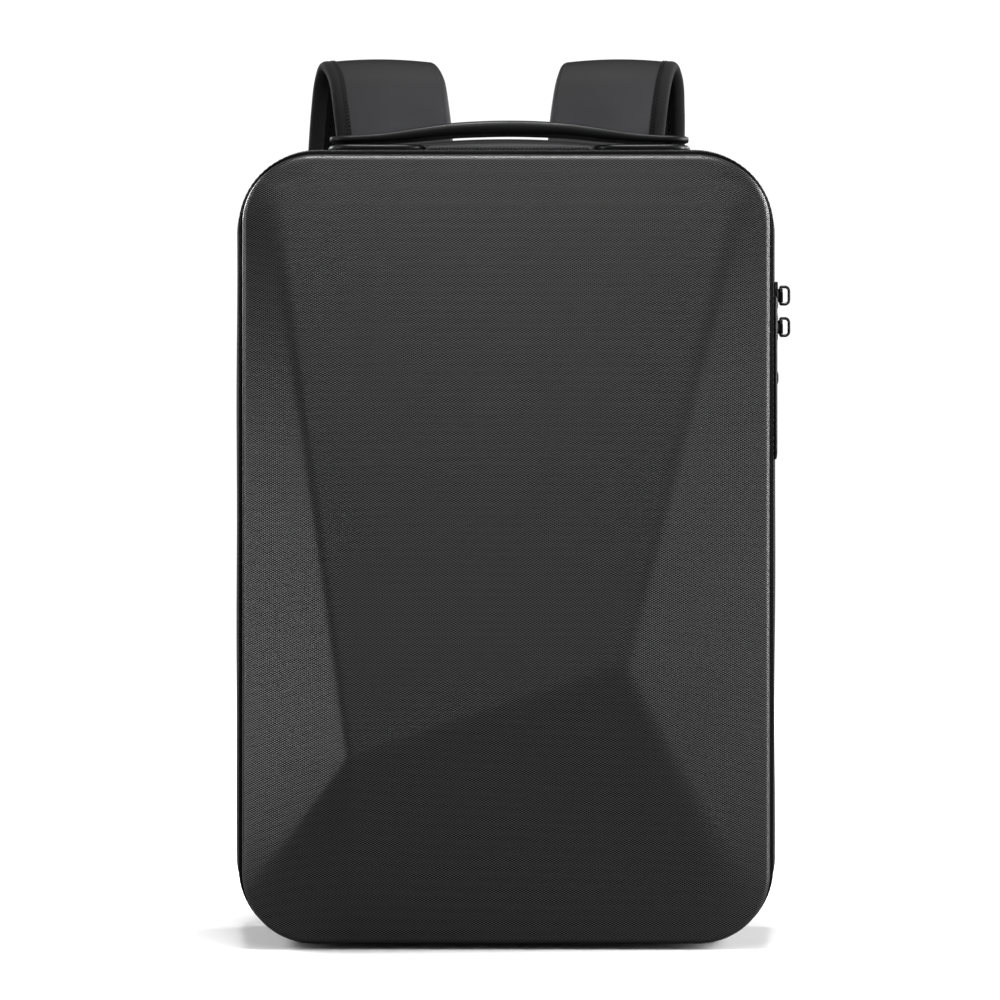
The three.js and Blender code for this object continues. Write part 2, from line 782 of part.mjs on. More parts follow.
function makeBuckle(way) {
  const { at, along, across, out } = buckleFrame(way);
  const shape = new THREE.Shape();
  const corner = buckleCorner;
  const half = buckleWidth / 2;
  shape.absarc(half - corner, corner, corner, -Math.PI / 2, 0, false);
  shape.absarc(half - corner, buckleHeight - corner, corner, 0, Math.PI / 2, false);
  shape.absarc(corner - half, buckleHeight - corner, corner, Math.PI / 2, Math.PI, false);
  shape.absarc(corner - half, corner, corner, Math.PI, (3 * Math.PI) / 2, false);
  shape.closePath();
  const slotHeight = (buckleHeight - 3 * buckleBar) / 2;
  for (const low of [buckleBar, 2 * buckleBar + slotHeight]) {
    const slot = new THREE.Path();
    slot.moveTo(buckleSide - half, low);
    slot.lineTo(buckleSide - half, low + slotHeight);
    slot.lineTo(half - buckleSide, low + slotHeight);
    slot.lineTo(half - buckleSide, low);
    slot.closePath();
    shape.holes.push(slot);
  }
  const geometry = new THREE.ExtrudeGeometry(shape, {
    depth: buckleThickness,
    curveSegments: 3,
    bevelEnabled: false,
  });
  const start = at(gap, -buckleThickness / 2);
  const side = across.clone().cross(along).dot(out) > 0 ? across : across.clone().negate();
  geometry.applyMatrix4(new THREE.Matrix4().makeBasis(side, along, out).setPosition(start));
  return geometry;
}

// The webbing runs from its tail over the buckle's middle bar and down to the bag's lower corner
function addLowerWebbing(name, way) {
  addPiece(`buckle_${name}`, makeBuckle(way), 'plastic');
  const { at } = buckleFrame(way);
  const barMiddle = gap + buckleHeight / 2;
  const turnRadius = Math.hypot(buckleBar, buckleThickness) / 2 + gap + webbingThickness / 2;
  const turn = (degrees) => {
    const angle = THREE.MathUtils.degToRad(degrees);
    return at(barMiddle - turnRadius * Math.sin(angle), turnRadius * Math.cos(angle));
  };
  const turns = Array.from({ length: webbingTurnSteps + 1 }, (_, i) => turn((180 * i) / webbingTurnSteps));
  const footX = way * tabAcross + strapShift;
  const footY = panelBack + gap + webbingThickness / 2;
  const foot = webbingFootRows.map(
    ({ up, lift }) => new THREE.Vector3(footX, footY + lift * webbingThickness, tabUp + up * tabHeight),
  );
  const legTop = at(barMiddle + buckleHeight, -turnRadius);
  const path = [
    at(barMiddle + webbingTail, turnRadius * webbingTailFlare),
    at(barMiddle + webbingTail / 2, (turnRadius * (1 + webbingTailFlare)) / 2),
    at(barMiddle + webbingLead, turnRadius),
    ...turns,
    at(barMiddle + webbingLead, -turnRadius),
    legTop,
    legTop.clone().lerp(foot[0], 0.5).add(new THREE.Vector3(0, webbingSag, 0)),
    ...foot,
  ];
  const section = barSection(webbingWidth, webbingThickness, webbingThickness / 3, 1);
  addPiece(`webbing_${name}`, sweep(path, acrossHint, () => section), 'tape');
  const standOff = 2 * gap + webbingThickness;
  const tab = makePatch(footX, tabUp, tabWidth, tabHeight, tabThickness, standOff);
  addPiece(`lower_tab_${name}`, tab, 'fabric');
}

// Side plate, lying on the flat strip of fabric behind the shell's lip
const plateY = (shellRear + tapeFront) / 2;
const plateX = bagWidth / 2 + bodyAt(plateY).side + gap;

function addSidePlate() {
  const plate = stadiumPlate(plateLength, plateWidth, plateThickness, plateBevel);
  plate.rotateZ(Math.PI / 2);
  plate.rotateY(Math.PI / 2);
  plate.rotateX(Math.PI / 2);
  plate.translate(plateX, plateY, plateHeight);
  addPiece('side_plate', plate, 'plastic');

  const outline = rivetRows.map(({ out, up }) => new THREE.Vector2(out * rivetRadius, up * rivetRise));
  const rivet = new THREE.LatheGeometry(outline, roundSides);
  rivet.rotateZ(-Math.PI / 2);
  rivet.translate(plateX + plateThickness + gap, plateY, plateHeight);
  addPiece('side_plate_rivet', rivet, 'metal');
}

// The sliders ride on the teeth. Each has a lug with a bore for its pull's straight bar, which runs upright
const teethTop = gap - zipTapeSink + zipTeethHeight;
const sliderX = bagWidth / 2 + bodyAt(zipCentre).side + teethTop + gap;
const pullX = sliderX + sliderThickness + lugHeight / 2;

function solid(geometry) {
  const bare = geometry.clone();
  bare.deleteAttribute('normal');
  bare.deleteAttribute('uv');
  const merged = mergeVertices(bare, mergeDistance);
  const vertProperties = new Float32Array(merged.attributes.position.array);
  const triVerts = new Uint32Array(merged.index.array);
  return new wasm.Manifold(new wasm.Mesh({ numProp: 3, vertProperties, triVerts }));
}

function fromSolid(body) {
  const { vertProperties, triVerts } = body.getMesh();
  const geometry = new THREE.BufferGeometry();
  geometry.setAttribute('position', new THREE.BufferAttribute(vertProperties, 3));
  geometry.setIndex(new THREE.BufferAttribute(triVerts, 1));
  return geometry;
}

function makeSlider(z, turned) {
  const half = sliderWidth / 2;
  const nose = sliderLength / 2;
  const edge = (way) => sliderRows.map(({ out, along }) => new THREE.Vector2(way * out * half, along * nose));
  const shape = new THREE.Shape([...edge(1), ...edge(-1).reverse()]);
  const base = new THREE.ExtrudeGeometry(shape, {
    depth: sliderThickness - 2 * sliderBevel,
    bevelThickness: sliderBevel,
    bevelSize: sliderBevel,
    bevelOffset: -sliderBevel,
    bevelSegments: 1,
  });
  base.translate(0, 0, sliderBevel);
  base.rotateZ(turned ? Math.PI : 0);
  base.rotateX(Math.PI / 2);
  base.rotateZ(Math.PI / 2);
  base.translate(sliderX, zipCentre, z);

  const lug = new THREE.BoxGeometry(lugHeight + sliderThickness, lugWidth, lugLength);
  lug.translate(sliderX + (lugHeight + sliderThickness) / 2, zipCentre, z);
  const boreRadius = pullWire / 2 + gap;
  const bore = new THREE.CylinderGeometry(boreRadius, boreRadius, lugLength * 2, roundSides);
  bore.rotateX(Math.PI / 2);
  bore.translate(pullX, zipCentre, z);
  return fromSolid(solid(base).add(solid(lug)).subtract(solid(bore)));
}

// The pull is a wire D: its bar runs through the lug, its bow stands out from the bag
function makePull(z) {
  const half = pullLength / 2;
  const corner = Math.min(pullCorner, pullReach, half);
  const rounding = corner * (1 - Math.SQRT1_2);
  const out = [
    { x: 0, z: -half },
    { x: pullReach - corner, z: -half },
    { x: pullReach - rounding, z: -half + rounding },
    { x: pullReach, z: -half + corner },
  ];
  const bow = [...out, ...out.map((point) => ({ x: point.x, z: -point.z })).reverse()];
  const path = bow.map((point) => new THREE.Vector3(pullX + point.x, zipCentre, z + point.z));
  const hint = new THREE.Vector3(0, 1, 0);
  return sweep(path, hint, () => roundSection(pullWire / 2), true);
}

function addZipHardware() {
  const spots = [
    { name: 'upper', z: sliderHeight + sliderSpacing / 2, turned: false },
    { name: 'lower', z: sliderHeight - sliderSpacing / 2, turned: true },
  ];
  for (const { name, z, turned } of spots) {
    addPiece(`zip_slider_${name}`, makeSlider(z, turned), 'metal');
    addPiece(`zip_pull_${name}`, makePull(z), 'metal');
  }
}

walkOutline();
addPiece('front_shell', makeFrontShell(), 'shell');
addPiece('front_gusset', fabricBand(shellRear + gap, tapeFront - gap), 'fabric');
addPiece('zip_tape', makeZipTape(), 'tape');
addPiece('zip_teeth', makeZipTeeth(), 'plastic');
addPiece('main_gusset', fabricBand(tapeRear + gap, bodyRear), 'fabric');
addPiece('rear_piping', makeRearPiping(), 'fabric');
addPiece('back_panel', makeBackPanel(), 'mesh');
addPiece('top_band', makeTopBand(), 'fabric');
addHandle();
addSidePlate();
addZipHardware();
addStrap('left', -1);
addStrap('right', 1);

export default backpack;
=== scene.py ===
# Hard shell backpack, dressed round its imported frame. Metres. X runs across, Y from front to back, Z up.
import math

import bmesh
import bpy
import numpy as np
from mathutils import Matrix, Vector


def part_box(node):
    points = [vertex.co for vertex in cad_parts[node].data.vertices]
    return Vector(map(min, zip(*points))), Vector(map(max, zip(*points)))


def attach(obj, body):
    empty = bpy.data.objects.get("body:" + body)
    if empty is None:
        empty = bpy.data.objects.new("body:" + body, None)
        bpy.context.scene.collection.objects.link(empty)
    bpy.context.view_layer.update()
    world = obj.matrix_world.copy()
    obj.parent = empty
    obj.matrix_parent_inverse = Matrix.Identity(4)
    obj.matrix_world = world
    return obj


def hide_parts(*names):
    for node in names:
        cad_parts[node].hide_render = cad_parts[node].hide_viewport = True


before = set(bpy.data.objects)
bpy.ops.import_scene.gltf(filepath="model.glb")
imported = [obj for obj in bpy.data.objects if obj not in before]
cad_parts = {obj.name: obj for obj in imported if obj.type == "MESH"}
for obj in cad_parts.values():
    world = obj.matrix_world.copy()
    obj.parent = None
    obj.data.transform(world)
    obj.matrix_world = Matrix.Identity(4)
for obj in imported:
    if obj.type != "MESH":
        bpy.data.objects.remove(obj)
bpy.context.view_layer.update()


# Front shell. A sheet of black polycarbonate is moulded over a form with four facets, then trimmed, and its
# rear edge is turned out into a bead. A fine woven emboss runs over it and stretches round its edges.
shell_low, shell_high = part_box("front_shell")
shell_half, shell_top, shell_rear = shell_high.x, shell_high.z, shell_high.y
peak_relief = 0.030
shell_front = shell_low.y + peak_relief
corner_radius = 0.044
shell_wall = 0.003
lip_rise, lip_depth = 0.0018, 0.0032
side_draft, edge_radius, top_draft = 0.0052, 0.0035, 0.0013
face_inset = lip_rise + side_draft
face_radius = corner_radius - face_inset
left_peak = (-0.57 * shell_half, 0.241 * shell_top, peak_relief)
right_peak = (0.429 * shell_half, 0.353 * shell_top, 0.853 * peak_relief)
crease_angles = {"top_left": 131, "low_left": 200, "low_right": 324.5, "top_right": 45}
crease_softness = 0.0013
shortest_run, ridge_margins, steepest_slope, edge_probe = 0.012, (0.010, 0.012), 0.6, 0.001
bead, groove_depth = 0.0013, 0.0004
top_band_height, top_band_run = 0.045, 0.038
columns, side_rows, corner_rows = 190, 236, 24
crown_half_width = 0.114


class Nodes:
    """Adds shader nodes to a tree. An input takes a number, a colour or another node's output."""

    def __init__(self, tree):
        self.tree = tree

    def add(self, kind, inputs=None, **settings):
        node = self.tree.nodes.new(kind)
        for name, value in settings.items():
            setattr(node, name, value)
        for name, value in (inputs or {}).items():
            if isinstance(value, bpy.types.NodeSocket):
                self.tree.links.new(value, node.inputs[name])
            else:
                node.inputs[name].default_value = value
        return node

    def math(self, operation, a, b=0.0, c=0.0):
        return self.add("ShaderNodeMath", {0: a, 1: b, 2: c}, operation=operation).outputs[0]

    def remap(self, value, low, high, to_low, to_high):
        inputs = {"Value": value, "From Min": low, "From Max": high, "To Min": to_low, "To Max": to_high}
        return self.add("ShaderNodeMapRange", inputs).outputs["Result"]

    def mix(self, share, a, b):
        node = self.add("ShaderNodeMix", {0: share, 6: a, 7: b}, data_type="RGBA")
        return node.outputs[2]

    def bump(self, height, distance, strength=1.0, normal=None):
        inputs = {"Height": height, "Distance": distance, "Strength": strength}
        if normal is not None:
            inputs["Normal"] = normal
        return self.add("ShaderNodeBump", inputs).outputs["Normal"]


def effect(name, inputs, outputs):
    """A shader node group with named inputs and outputs, its node adder and its group input."""
    group = bpy.data.node_groups.new(name, "ShaderNodeTree")
    for label, kind, value in inputs:
        socket = group.interface.new_socket(label, in_out="INPUT", socket_type="NodeSocket" + kind)
        if value is not None:
            socket.default_value = value
    for label, kind in outputs:
        group.interface.new_socket(label, in_out="OUTPUT", socket_type="NodeSocket" + kind)
    nodes = Nodes(group)
    return group, nodes, nodes.add("NodeGroupInput").outputs, nodes.add("NodeGroupOutput").inputs


def material(name, base, roughness, **sockets):
    """A material with its Principled shader's plain values set on the shader's own sockets."""
    made = bpy.data.materials.new(name)
    made.use_nodes = True
    made.node_tree.nodes.clear()
    nodes = Nodes(made.node_tree)
    shader = nodes.add("ShaderNodeBsdfPrincipled", {"Base Color": (*base, 1), "Roughness": roughness})
    for label, value in sockets.items():
        shader.inputs[label.replace("_", " ")].default_value = value
    output = nodes.add("ShaderNodeOutputMaterial")
    nodes.tree.links.new(shader.outputs["BSDF"], output.inputs["Surface"])
    return made, nodes, shader


def use(nodes, group, inputs):
    """Places an effect in a material."""
    node = nodes.add("ShaderNodeGroup", node_tree=group)
    for label, value in inputs.items():
        if isinstance(value, bpy.types.NodeSocket):
            nodes.tree.links.new(value, node.inputs[label])
        else:
            node.inputs[label].default_value = value
    return node.outputs


def connect(nodes, output, shader, label):
    nodes.tree.links.new(output, shader.inputs[label])


def skin(name, points, blocks, corner_uv, finish, face_finish=None):
    """A mesh object at the origin with outward faces, smooth shading and a UV map in metres.
    Each block holds faces with as many corners as each other."""
    blocks = [np.atleast_2d(block) for block in blocks]
    corners = np.concatenate([block.ravel() for block in blocks])
    sizes = np.concatenate([np.full(len(block), block.shape[1]) for block in blocks])
    mesh = bpy.data.meshes.new(name)
    mesh.vertices.add(len(points))
    mesh.vertices.foreach_set("co", np.asarray(points, np.float32).ravel())
    mesh.loops.add(len(corners))
    mesh.loops.foreach_set("vertex_index", corners.astype(np.int32))
    mesh.polygons.add(len(sizes))
    mesh.polygons.foreach_set("loop_start", (np.cumsum(sizes) - sizes).astype(np.int32))
    mesh.uv_layers.new(name="Surface").data.foreach_set("uv", np.asarray(corner_uv, np.float32).ravel())
    for each in [finish] if isinstance(finish, bpy.types.Material) else finish:
        mesh.materials.append(each)
    if face_finish is not None:
        mesh.polygons.foreach_set("material_index", np.asarray(face_finish, np.int32))
    mesh.update(calc_edges=True)
    mesh.validate()
    if signed_volume(mesh) < 0:
        mesh.flip_normals()
    mesh.shade_smooth()
    thing = bpy.data.objects.new(name, mesh)
    bpy.context.scene.collection.objects.link(thing)
    return thing


def signed_volume(mesh):
    mesh.calc_loop_triangles()
    places = np.empty(len(mesh.vertices) * 3, np.float32)
    mesh.vertices.foreach_get("co", places)
    corners = np.empty(len(mesh.loop_triangles) * 3, np.int32)
    mesh.loop_triangles.foreach_get("vertices", corners)
    a, b, c = places.reshape(-1, 3)[corners].reshape(-1, 3, 3).transpose(1, 0, 2).astype(float)
    return np.einsum("ij,ij->", a, np.cross(b, c))


def fit_out(thing, slot, *nodes, body="bag"):
    """The piece takes its CAD nodes' place and rides on their body."""
    if nodes:
        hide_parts(*nodes)
    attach(thing, body)
    return thing


def quads(first, second):
    """Faces between two loops of as many corners, as one array."""
    ahead, beyond = np.roll(first, -1), np.roll(second, -1)
    return np.stack([first, second, beyond, ahead], 1)


# Stations walk once round the bag's outline from the bottom left corner, counter-clockwise from the front.
# Each is the centre of its corner arc, or its foot on a straight side, and the way that the edge faces there.
straight = shell_half - corner_radius
high_centre = shell_top - corner_radius
row_angle = np.radians(np.concatenate([
    np.linspace(-90, 0, corner_rows + 1), np.zeros(side_rows - 1), np.linspace(0, 90, corner_rows + 1)]))
row_centre = np.concatenate([
    np.full(corner_rows, corner_radius), np.linspace(corner_radius, high_centre, side_rows + 1),
    np.full(corner_rows, high_centre)])
column_share = np.linspace(-1, 1, columns + 1)
last_row = len(row_angle) - 1
bottom_x = column_share[:-1] * straight
station_x = np.concatenate([
    bottom_x, np.full(last_row, straight), -bottom_x, np.full(last_row, -straight)])
station_z = np.concatenate([
    np.full(columns, corner_radius), row_centre[:-1], np.full(columns, high_centre), row_centre[:0:-1]])
station_angle = np.concatenate([
    np.full(columns, -np.pi / 2), row_angle[:-1], np.full(columns, np.pi / 2), np.pi - row_angle[:0:-1]])
facing_x, facing_z = np.cos(station_angle), np.sin(station_angle)


def outline(y, side, top=None, bottom=None, crown=0.0):
    """Points right round the bag at depth y, standing off its outline by side, top and bottom."""
    top = side if top is None else top
    bottom = side if bottom is None else bottom
    x = station_x + (corner_radius + side) * facing_x
    arch = np.where(facing_z > 0, crown * np.clip(1 - (x / crown_half_width) ** 2, 0, None), 0)
    z = station_z + (corner_radius + np.where(facing_z > 0, top, bottom)) * facing_z + arch
    return np.stack([x, np.broadcast_to(y, x.shape), z], 1)


def soft_min(a, b, softness):
    low = np.minimum(a, b)
    reach = np.minimum(softness, 1.5 * np.maximum(low, 1e-7))
    near = np.clip(reach - np.abs(a - b), 0, None) / reach
    return low - near * near * reach / 4


def corner_point(angle):
    turn = math.radians(angle)
    x = math.copysign(straight, math.cos(turn)) + face_radius * math.cos(turn)
    z = (high_centre if math.sin(turn) > 0 else corner_radius) + face_radius * math.sin(turn)
    return x, z


def rim_lift(slope):
    """How far a facet that meets the rounded front edge stands over the edge's own front plane."""
    return edge_radius * (np.sqrt(1 + slope * slope) - 1)


def facet_heights(x, z, half, low):
    """Relief of the shell's face: four facets that rise from the rim to two peaks, met by soft creases."""
    top_slope = left_peak[2] / (shell_top - face_inset - left_peak[1])
    centre = top_slope * (shell_top - face_inset - z)
    settle_z = corner_radius + edge_probe
    ends = {name: corner_point(angle) for name, angle in crease_angles.items()}

    def side(peak, low_end, top_end, way):
        (low_x, low_z), (top_x, top_z) = low_end, top_end
        top_height = top_slope * (shell_top - face_inset - top_z)
        at = np.clip(z, settle_z, None)
        crease_x = np.interp(at, [low_z, peak[1], top_z], [low_x, peak[0], top_x])
        crease_height = np.interp(at, [low_z, peak[1], top_z], [0, peak[2], top_height])
        over = np.clip(at - high_centre, 0, None)
        full = straight + np.sqrt(np.clip(face_radius ** 2 - over ** 2, 0, None))
        run = np.maximum(full - way * crease_x, shortest_run)
        lift = rim_lift(crease_height / run)
        return lift + (crease_height - lift) / run * (half - way * x)

    left = side(left_peak, ends["low_left"], ends["top_left"], -1)
    right = side(right_peak, ends["low_right"], ends["top_right"], 1)

    left_end, right_end = ends["low_left"], ends["low_right"]
    ridge_x = [left_end[0], left_peak[0], right_peak[0], right_end[0]]
    at = np.clip(x, left_end[0] + ridge_margins[0], right_end[0] - ridge_margins[1])
    ridge_z = np.interp(at, ridge_x, [left_end[1], left_peak[1], right_peak[1], right_end[1]])
    ridge_height = np.interp(at, ridge_x, [0, left_peak[2], right_peak[2], 0])
    foot = corner_radius - np.sqrt(face_radius ** 2 - np.clip(np.abs(at) - straight, 0, None) ** 2)
    lift = rim_lift(ridge_height / (ridge_z - foot))
    base = lift + (ridge_height - lift) / (ridge_z - foot) * (z - low)
    upper = soft_min(soft_min(centre, left, crease_softness), right, crease_softness)
    return soft_min(upper, base, crease_softness)


def make_shell(finish):
    half = straight + face_radius * np.cos(row_angle)
    z = np.broadcast_to((row_centre + face_radius * np.sin(row_angle))[:, None], (last_row + 1, columns + 1))
    x = half[:, None] * column_share[None, :]
    beyond = np.clip(np.abs(x) - straight, 0, face_radius)
    low = corner_radius - np.sqrt(face_radius ** 2 - beyond ** 2)
    relief = facet_heights(x, z, half[:, None], low)
    face = np.stack([x, shell_front - relief, z], 2).reshape(-1, 3)
    index = np.arange(len(face)).reshape(last_row + 1, columns + 1)
    rim = np.concatenate([index[0, :-1], index[:-1, -1], index[-1, :0:-1], index[:0:-1, 0]])

    # The front edge is rounded from each facet's own slope to the side wall's
    inner_radius = face_radius - edge_probe
    inner_x, inner_z = station_x + inner_radius * facing_x, station_z + inner_radius * facing_z
    inner_half = np.abs(inner_x) + edge_probe / np.clip(np.abs(facing_x), 0.05, None)
    inner_low = inner_z - edge_probe / np.clip(np.abs(facing_z), 0.05, None)
    slope = (facet_heights(inner_x, inner_z, inner_half, inner_low) - relief.ravel()[rim]) / edge_probe
    start = np.arctan(np.clip(slope, 0.0, steepest_slope))
    wall_inset = face_inset - edge_radius
    profile = []
    for share in np.linspace(0, 1, 9):
        turn = start + (np.pi / 2 - start) * share
        y = shell_front + edge_radius * (1 - np.cos(turn))
        profile.append((face_inset - edge_radius * np.sin(turn), y))
    lip_front = shell_rear - lip_depth
    for share in np.linspace(0, 1, 9)[1:]:
        y = shell_front + edge_radius + (lip_front - shell_front - edge_radius) * share
        profile.append((wall_inset + (lip_rise - wall_inset) * share, y))
    wall_rings = len(profile)
    profile.append((lip_rise - groove_depth, lip_front + groove_depth / 4))
    for share in np.linspace(0, 1, 6):
        turn = share * np.pi / 2
        profile.append((bead * (1 - math.sin(turn)), lip_front + bead * (1.1 - math.cos(turn))))
    for share in np.linspace(0, 1, 5):
        turn = share * np.pi / 2
        profile.append((bead / 2 * (1 - math.cos(turn)), shell_rear - bead / 2 * (1 - math.sin(turn))))
    profile.append((lip_rise + shell_wall, shell_rear))
    profile.append((wall_inset + shell_wall, shell_front + edge_radius + shell_wall))
    profile.append((face_inset + shell_wall / 2, shell_front + shell_wall))

    rings, ring_uv = [], []
    travelled = np.zeros_like(station_x)
    previous = (face_inset, shell_front)
    for inset, y in profile:
        rings.append(outline(y, -inset))
        travelled = travelled + np.hypot(inset - previous[0], y - previous[1])
        reach = face_radius + travelled
        ring_uv.append(np.stack([station_x + reach * facing_x, station_z + reach * facing_z], 1))
        previous = (inset, y)
    inner_peaks = [(peak[0], shell_front - peak[2] + shell_wall, peak[1]) for peak in (left_peak, right_peak)]
    points = np.concatenate([face, *rings, inner_peaks])
    near_top = np.clip((points[:, 2] - shell_top + top_band_height) / top_band_run, 0, 1)
    near_front = np.clip((lip_front - points[:, 1]) / (lip_front - shell_front), 0, 1)
    points[:, 2] -= top_draft * near_top ** 2 * (3 - 2 * near_top) * near_front
    uv = np.concatenate([face[:, [0, 2]], *ring_uv, [(peak[0], peak[2]) for peak in inner_peaks]])

    grid = np.stack([index[:-1, :-1], index[:-1, 1:], index[1:, 1:], index[1:, :-1]], 2).reshape(-1, 4)
    loops = [rim] + [len(face) + i * len(rim) + np.arange(len(rim)) for i in range(len(rings))]
    blocks = [grid] + [quads(a, b) for a, b in zip(loops, loops[1:])]
    peak_left, peak_right = len(points) - 2, len(points) - 1
    ends = {name: nearest_station(corner_point(angle)) for name, angle in crease_angles.items()}
    inside = loops[-1]
    for first, last, tips in [
        ("top_right", "top_left", [peak_left, peak_right]), ("top_left", "low_left", [peak_left]),
        ("low_left", "low_right", [peak_right, peak_left]), ("low_right", "top_right", [peak_right]),
    ]:
        count = (ends[last] - ends[first]) % len(inside) + 1
        run = inside[(ends[first] + np.arange(count)) % len(inside)]
        blocks.append(np.concatenate([run, tips])[::-1])
    corners = np.concatenate([block.ravel() for block in blocks])
    plain = len(grid) + wall_rings * len(rim)
    face_finish = np.zeros(sum(len(np.atleast_2d(block)) for block in blocks), int)
    face_finish[plain:] = 1
    return skin("front_shell_moulding", points, blocks, uv[corners], finish, face_finish)


def nearest_station(place):
    x = station_x + face_radius * facing_x
    z = station_z + face_radius * facing_z
    return int(np.argmin(np.hypot(x - place[0], z - place[1])))


# Raised cells in rows, each row half a cell along from the next
emboss, nodes, given, result = effect(
    "Woven emboss",
    [("Surface", "Vector", None), ("Cell width", "Float", 0.00229), ("Cell height", "Float", 0.00129)],
    [("Height", "Float"), ("Cell", "Float")])
place = nodes.add("ShaderNodeSeparateXYZ", {0: given["Surface"]}).outputs
across = nodes.math("DIVIDE", place["X"], given["Cell width"])
up = nodes.math("DIVIDE", place["Y"], given["Cell height"])
across_wave = nodes.math("COSINE", nodes.math("MULTIPLY", across, 2 * math.pi))
up_wave = nodes.math("COSINE", nodes.math("MULTIPLY", up, 2 * math.pi))
cells = nodes.math("MULTIPLY", across_wave, up_wave)
nodes.tree.links.new(nodes.math("MULTIPLY_ADD", cells, 0.5, 0.5), result["Height"])
nodes.tree.links.new(nodes.remap(cells, -0.2, 0.2, 0.0, 1.0), result["Cell"])

# Fine mottling that every moulded or woven surface has
grain, nodes, given, result = effect(
    "Fine grain", [("Place", "Vector", None), ("Grain size", "Float", 0.0004)],
    [("Height", "Float"), ("Mottle", "Float")])
scale = nodes.math("DIVIDE", 1.0, given["Grain size"])
fine = nodes.add("ShaderNodeTexNoise", {"Vector": given["Place"], "Scale": scale, "Detail": 2.0})
nodes.tree.links.new(fine.outputs["Fac"], result["Height"])
broad = nodes.add("ShaderNodeTexNoise", {"Vector": given["Place"], "Scale": 26.0, "Detail": 3.0})
nodes.tree.links.new(broad.outputs["Fac"], result["Mottle"])
mottle_range = (0.3, 0.7)

# The cells' crests are painted lighter and the ground between them near black and metal, so it throws little
# light back: painted highlight on the crests and painted shade on the ground
shell_plastic, nodes, shader = material(
    "Embossed polycarbonate", (0.02, 0.02, 0.021), 0.42, Specular_IOR_Level=0.92)
surface = nodes.add("ShaderNodeUVMap", uv_map="Surface").outputs["UV"]
own_place = nodes.add("ShaderNodeTexCoord").outputs["Object"]
weave = use(nodes, emboss, {"Surface": surface})
speckle = use(nodes, grain, {"Place": own_place})
raised = nodes.bump(weave["Height"], 0.0001)
connect(nodes, nodes.bump(speckle["Height"], 0.00003, 0.5, raised), shader, "Normal")
connect(nodes, nodes.remap(speckle["Mottle"], *mottle_range, 0.29, 0.33), shader, "Roughness")
# Painted shade between the cells and painted highlight on their crests
painted_shade_ground, painted_highlight_crest = (0.0002, 0.0002, 0.0002, 1), (0.062, 0.062, 0.064, 1)
connect(nodes, nodes.mix(weave["Cell"], painted_shade_ground, painted_highlight_crest), shader, "Base Color")
connect(nodes, nodes.remap(weave["Cell"], 0.0, 1.0, 1.0, 0.0), shader, "Metallic")


def grained(name, base, roughness, grain_size, relief, sharpness, polish=None, tones=None, **sockets):
    """A plain surface with fine grain in relief. polish holds the roughness of its shiniest and its dullest
    patches, and tones the colours of the grain's pits and of its crests."""
    made, nodes, shader = material(name, base, roughness, **sockets)
    own_place = nodes.add("ShaderNodeTexCoord").outputs["Object"]
    speckle = use(nodes, grain, {"Place": own_place, "Grain size": grain_size})
    connect(nodes, nodes.bump(speckle["Height"], relief, sharpness), shader, "Normal")
    if polish:
        connect(nodes, nodes.remap(speckle["Mottle"], *mottle_range, *polish), shader, "Roughness")
    if tones:
        low, high = tones
        connect(nodes, nodes.mix(speckle["Height"], (*low, 1), (*high, 1)), shader, "Base Color")
    return made


# The groove, bead, lip and inside are the shell's own plastic, painted near black and dull: painted shade for
# the dark seam between the shell and the cloth
shaded_bead_finish = grained(
    "Trimmed edge", (0.001, 0.001, 0.001), 0.6, grain_size=0.0004, relief=0.00003, sharpness=0.5,
    polish=(0.55, 0.7), Specular_IOR_Level=0.04)

fit_out(make_shell([shell_plastic, shaded_bead_finish]), "shell", "front_shell")


# Fabric body. A strip of black woven polyester is sewn to the shell's bead and to the zip, and a deeper wall
# of it runs from the zip to the back. Both are bound inside, and pucker a little along their seams.
body_depth = 0.084
side_bulge, top_rise, top_crown = 0.0065, 0.0032, 0.0115
fabric_wall = 0.002
seam_gap = 0.0003
body_rows = [
    {"at": 0.0, "side": 0.14, "top": 0.12, "crown": 0},
    {"at": 0.2, "side": 0.14, "top": 0.62, "crown": 0},
    {"at": 0.32, "side": 0.28, "top": 1.0, "crown": 0},
    {"at": 0.62, "side": 1.0, "top": 1.0, "crown": 0},
    {"at": 0.82, "side": 0.95, "top": 0.78, "crown": 1},
    {"at": 1.0, "side": 0.77, "top": 0.47, "crown": 1},
]


def body_at(y):
    """How far the cloth stands outside the outline at depth y: at the sides, the top and the top's arch."""
    share = (y - shell_rear) / body_depth
    size = {"side": side_bulge, "top": top_rise, "crown": top_crown}
    return {name: np.interp(share, [row["at"] for row in body_rows], [row[name] for row in body_rows]) * full
            for name, full in size.items()}


def lifted(y, lift):
    """A ring round the body at depth y, lifted off it but not underneath, where it stands on the floor."""
    body = body_at(y)
    return outline(y, body["side"] + lift, body["top"] + lift, np.minimum(lift, 0), body["crown"])


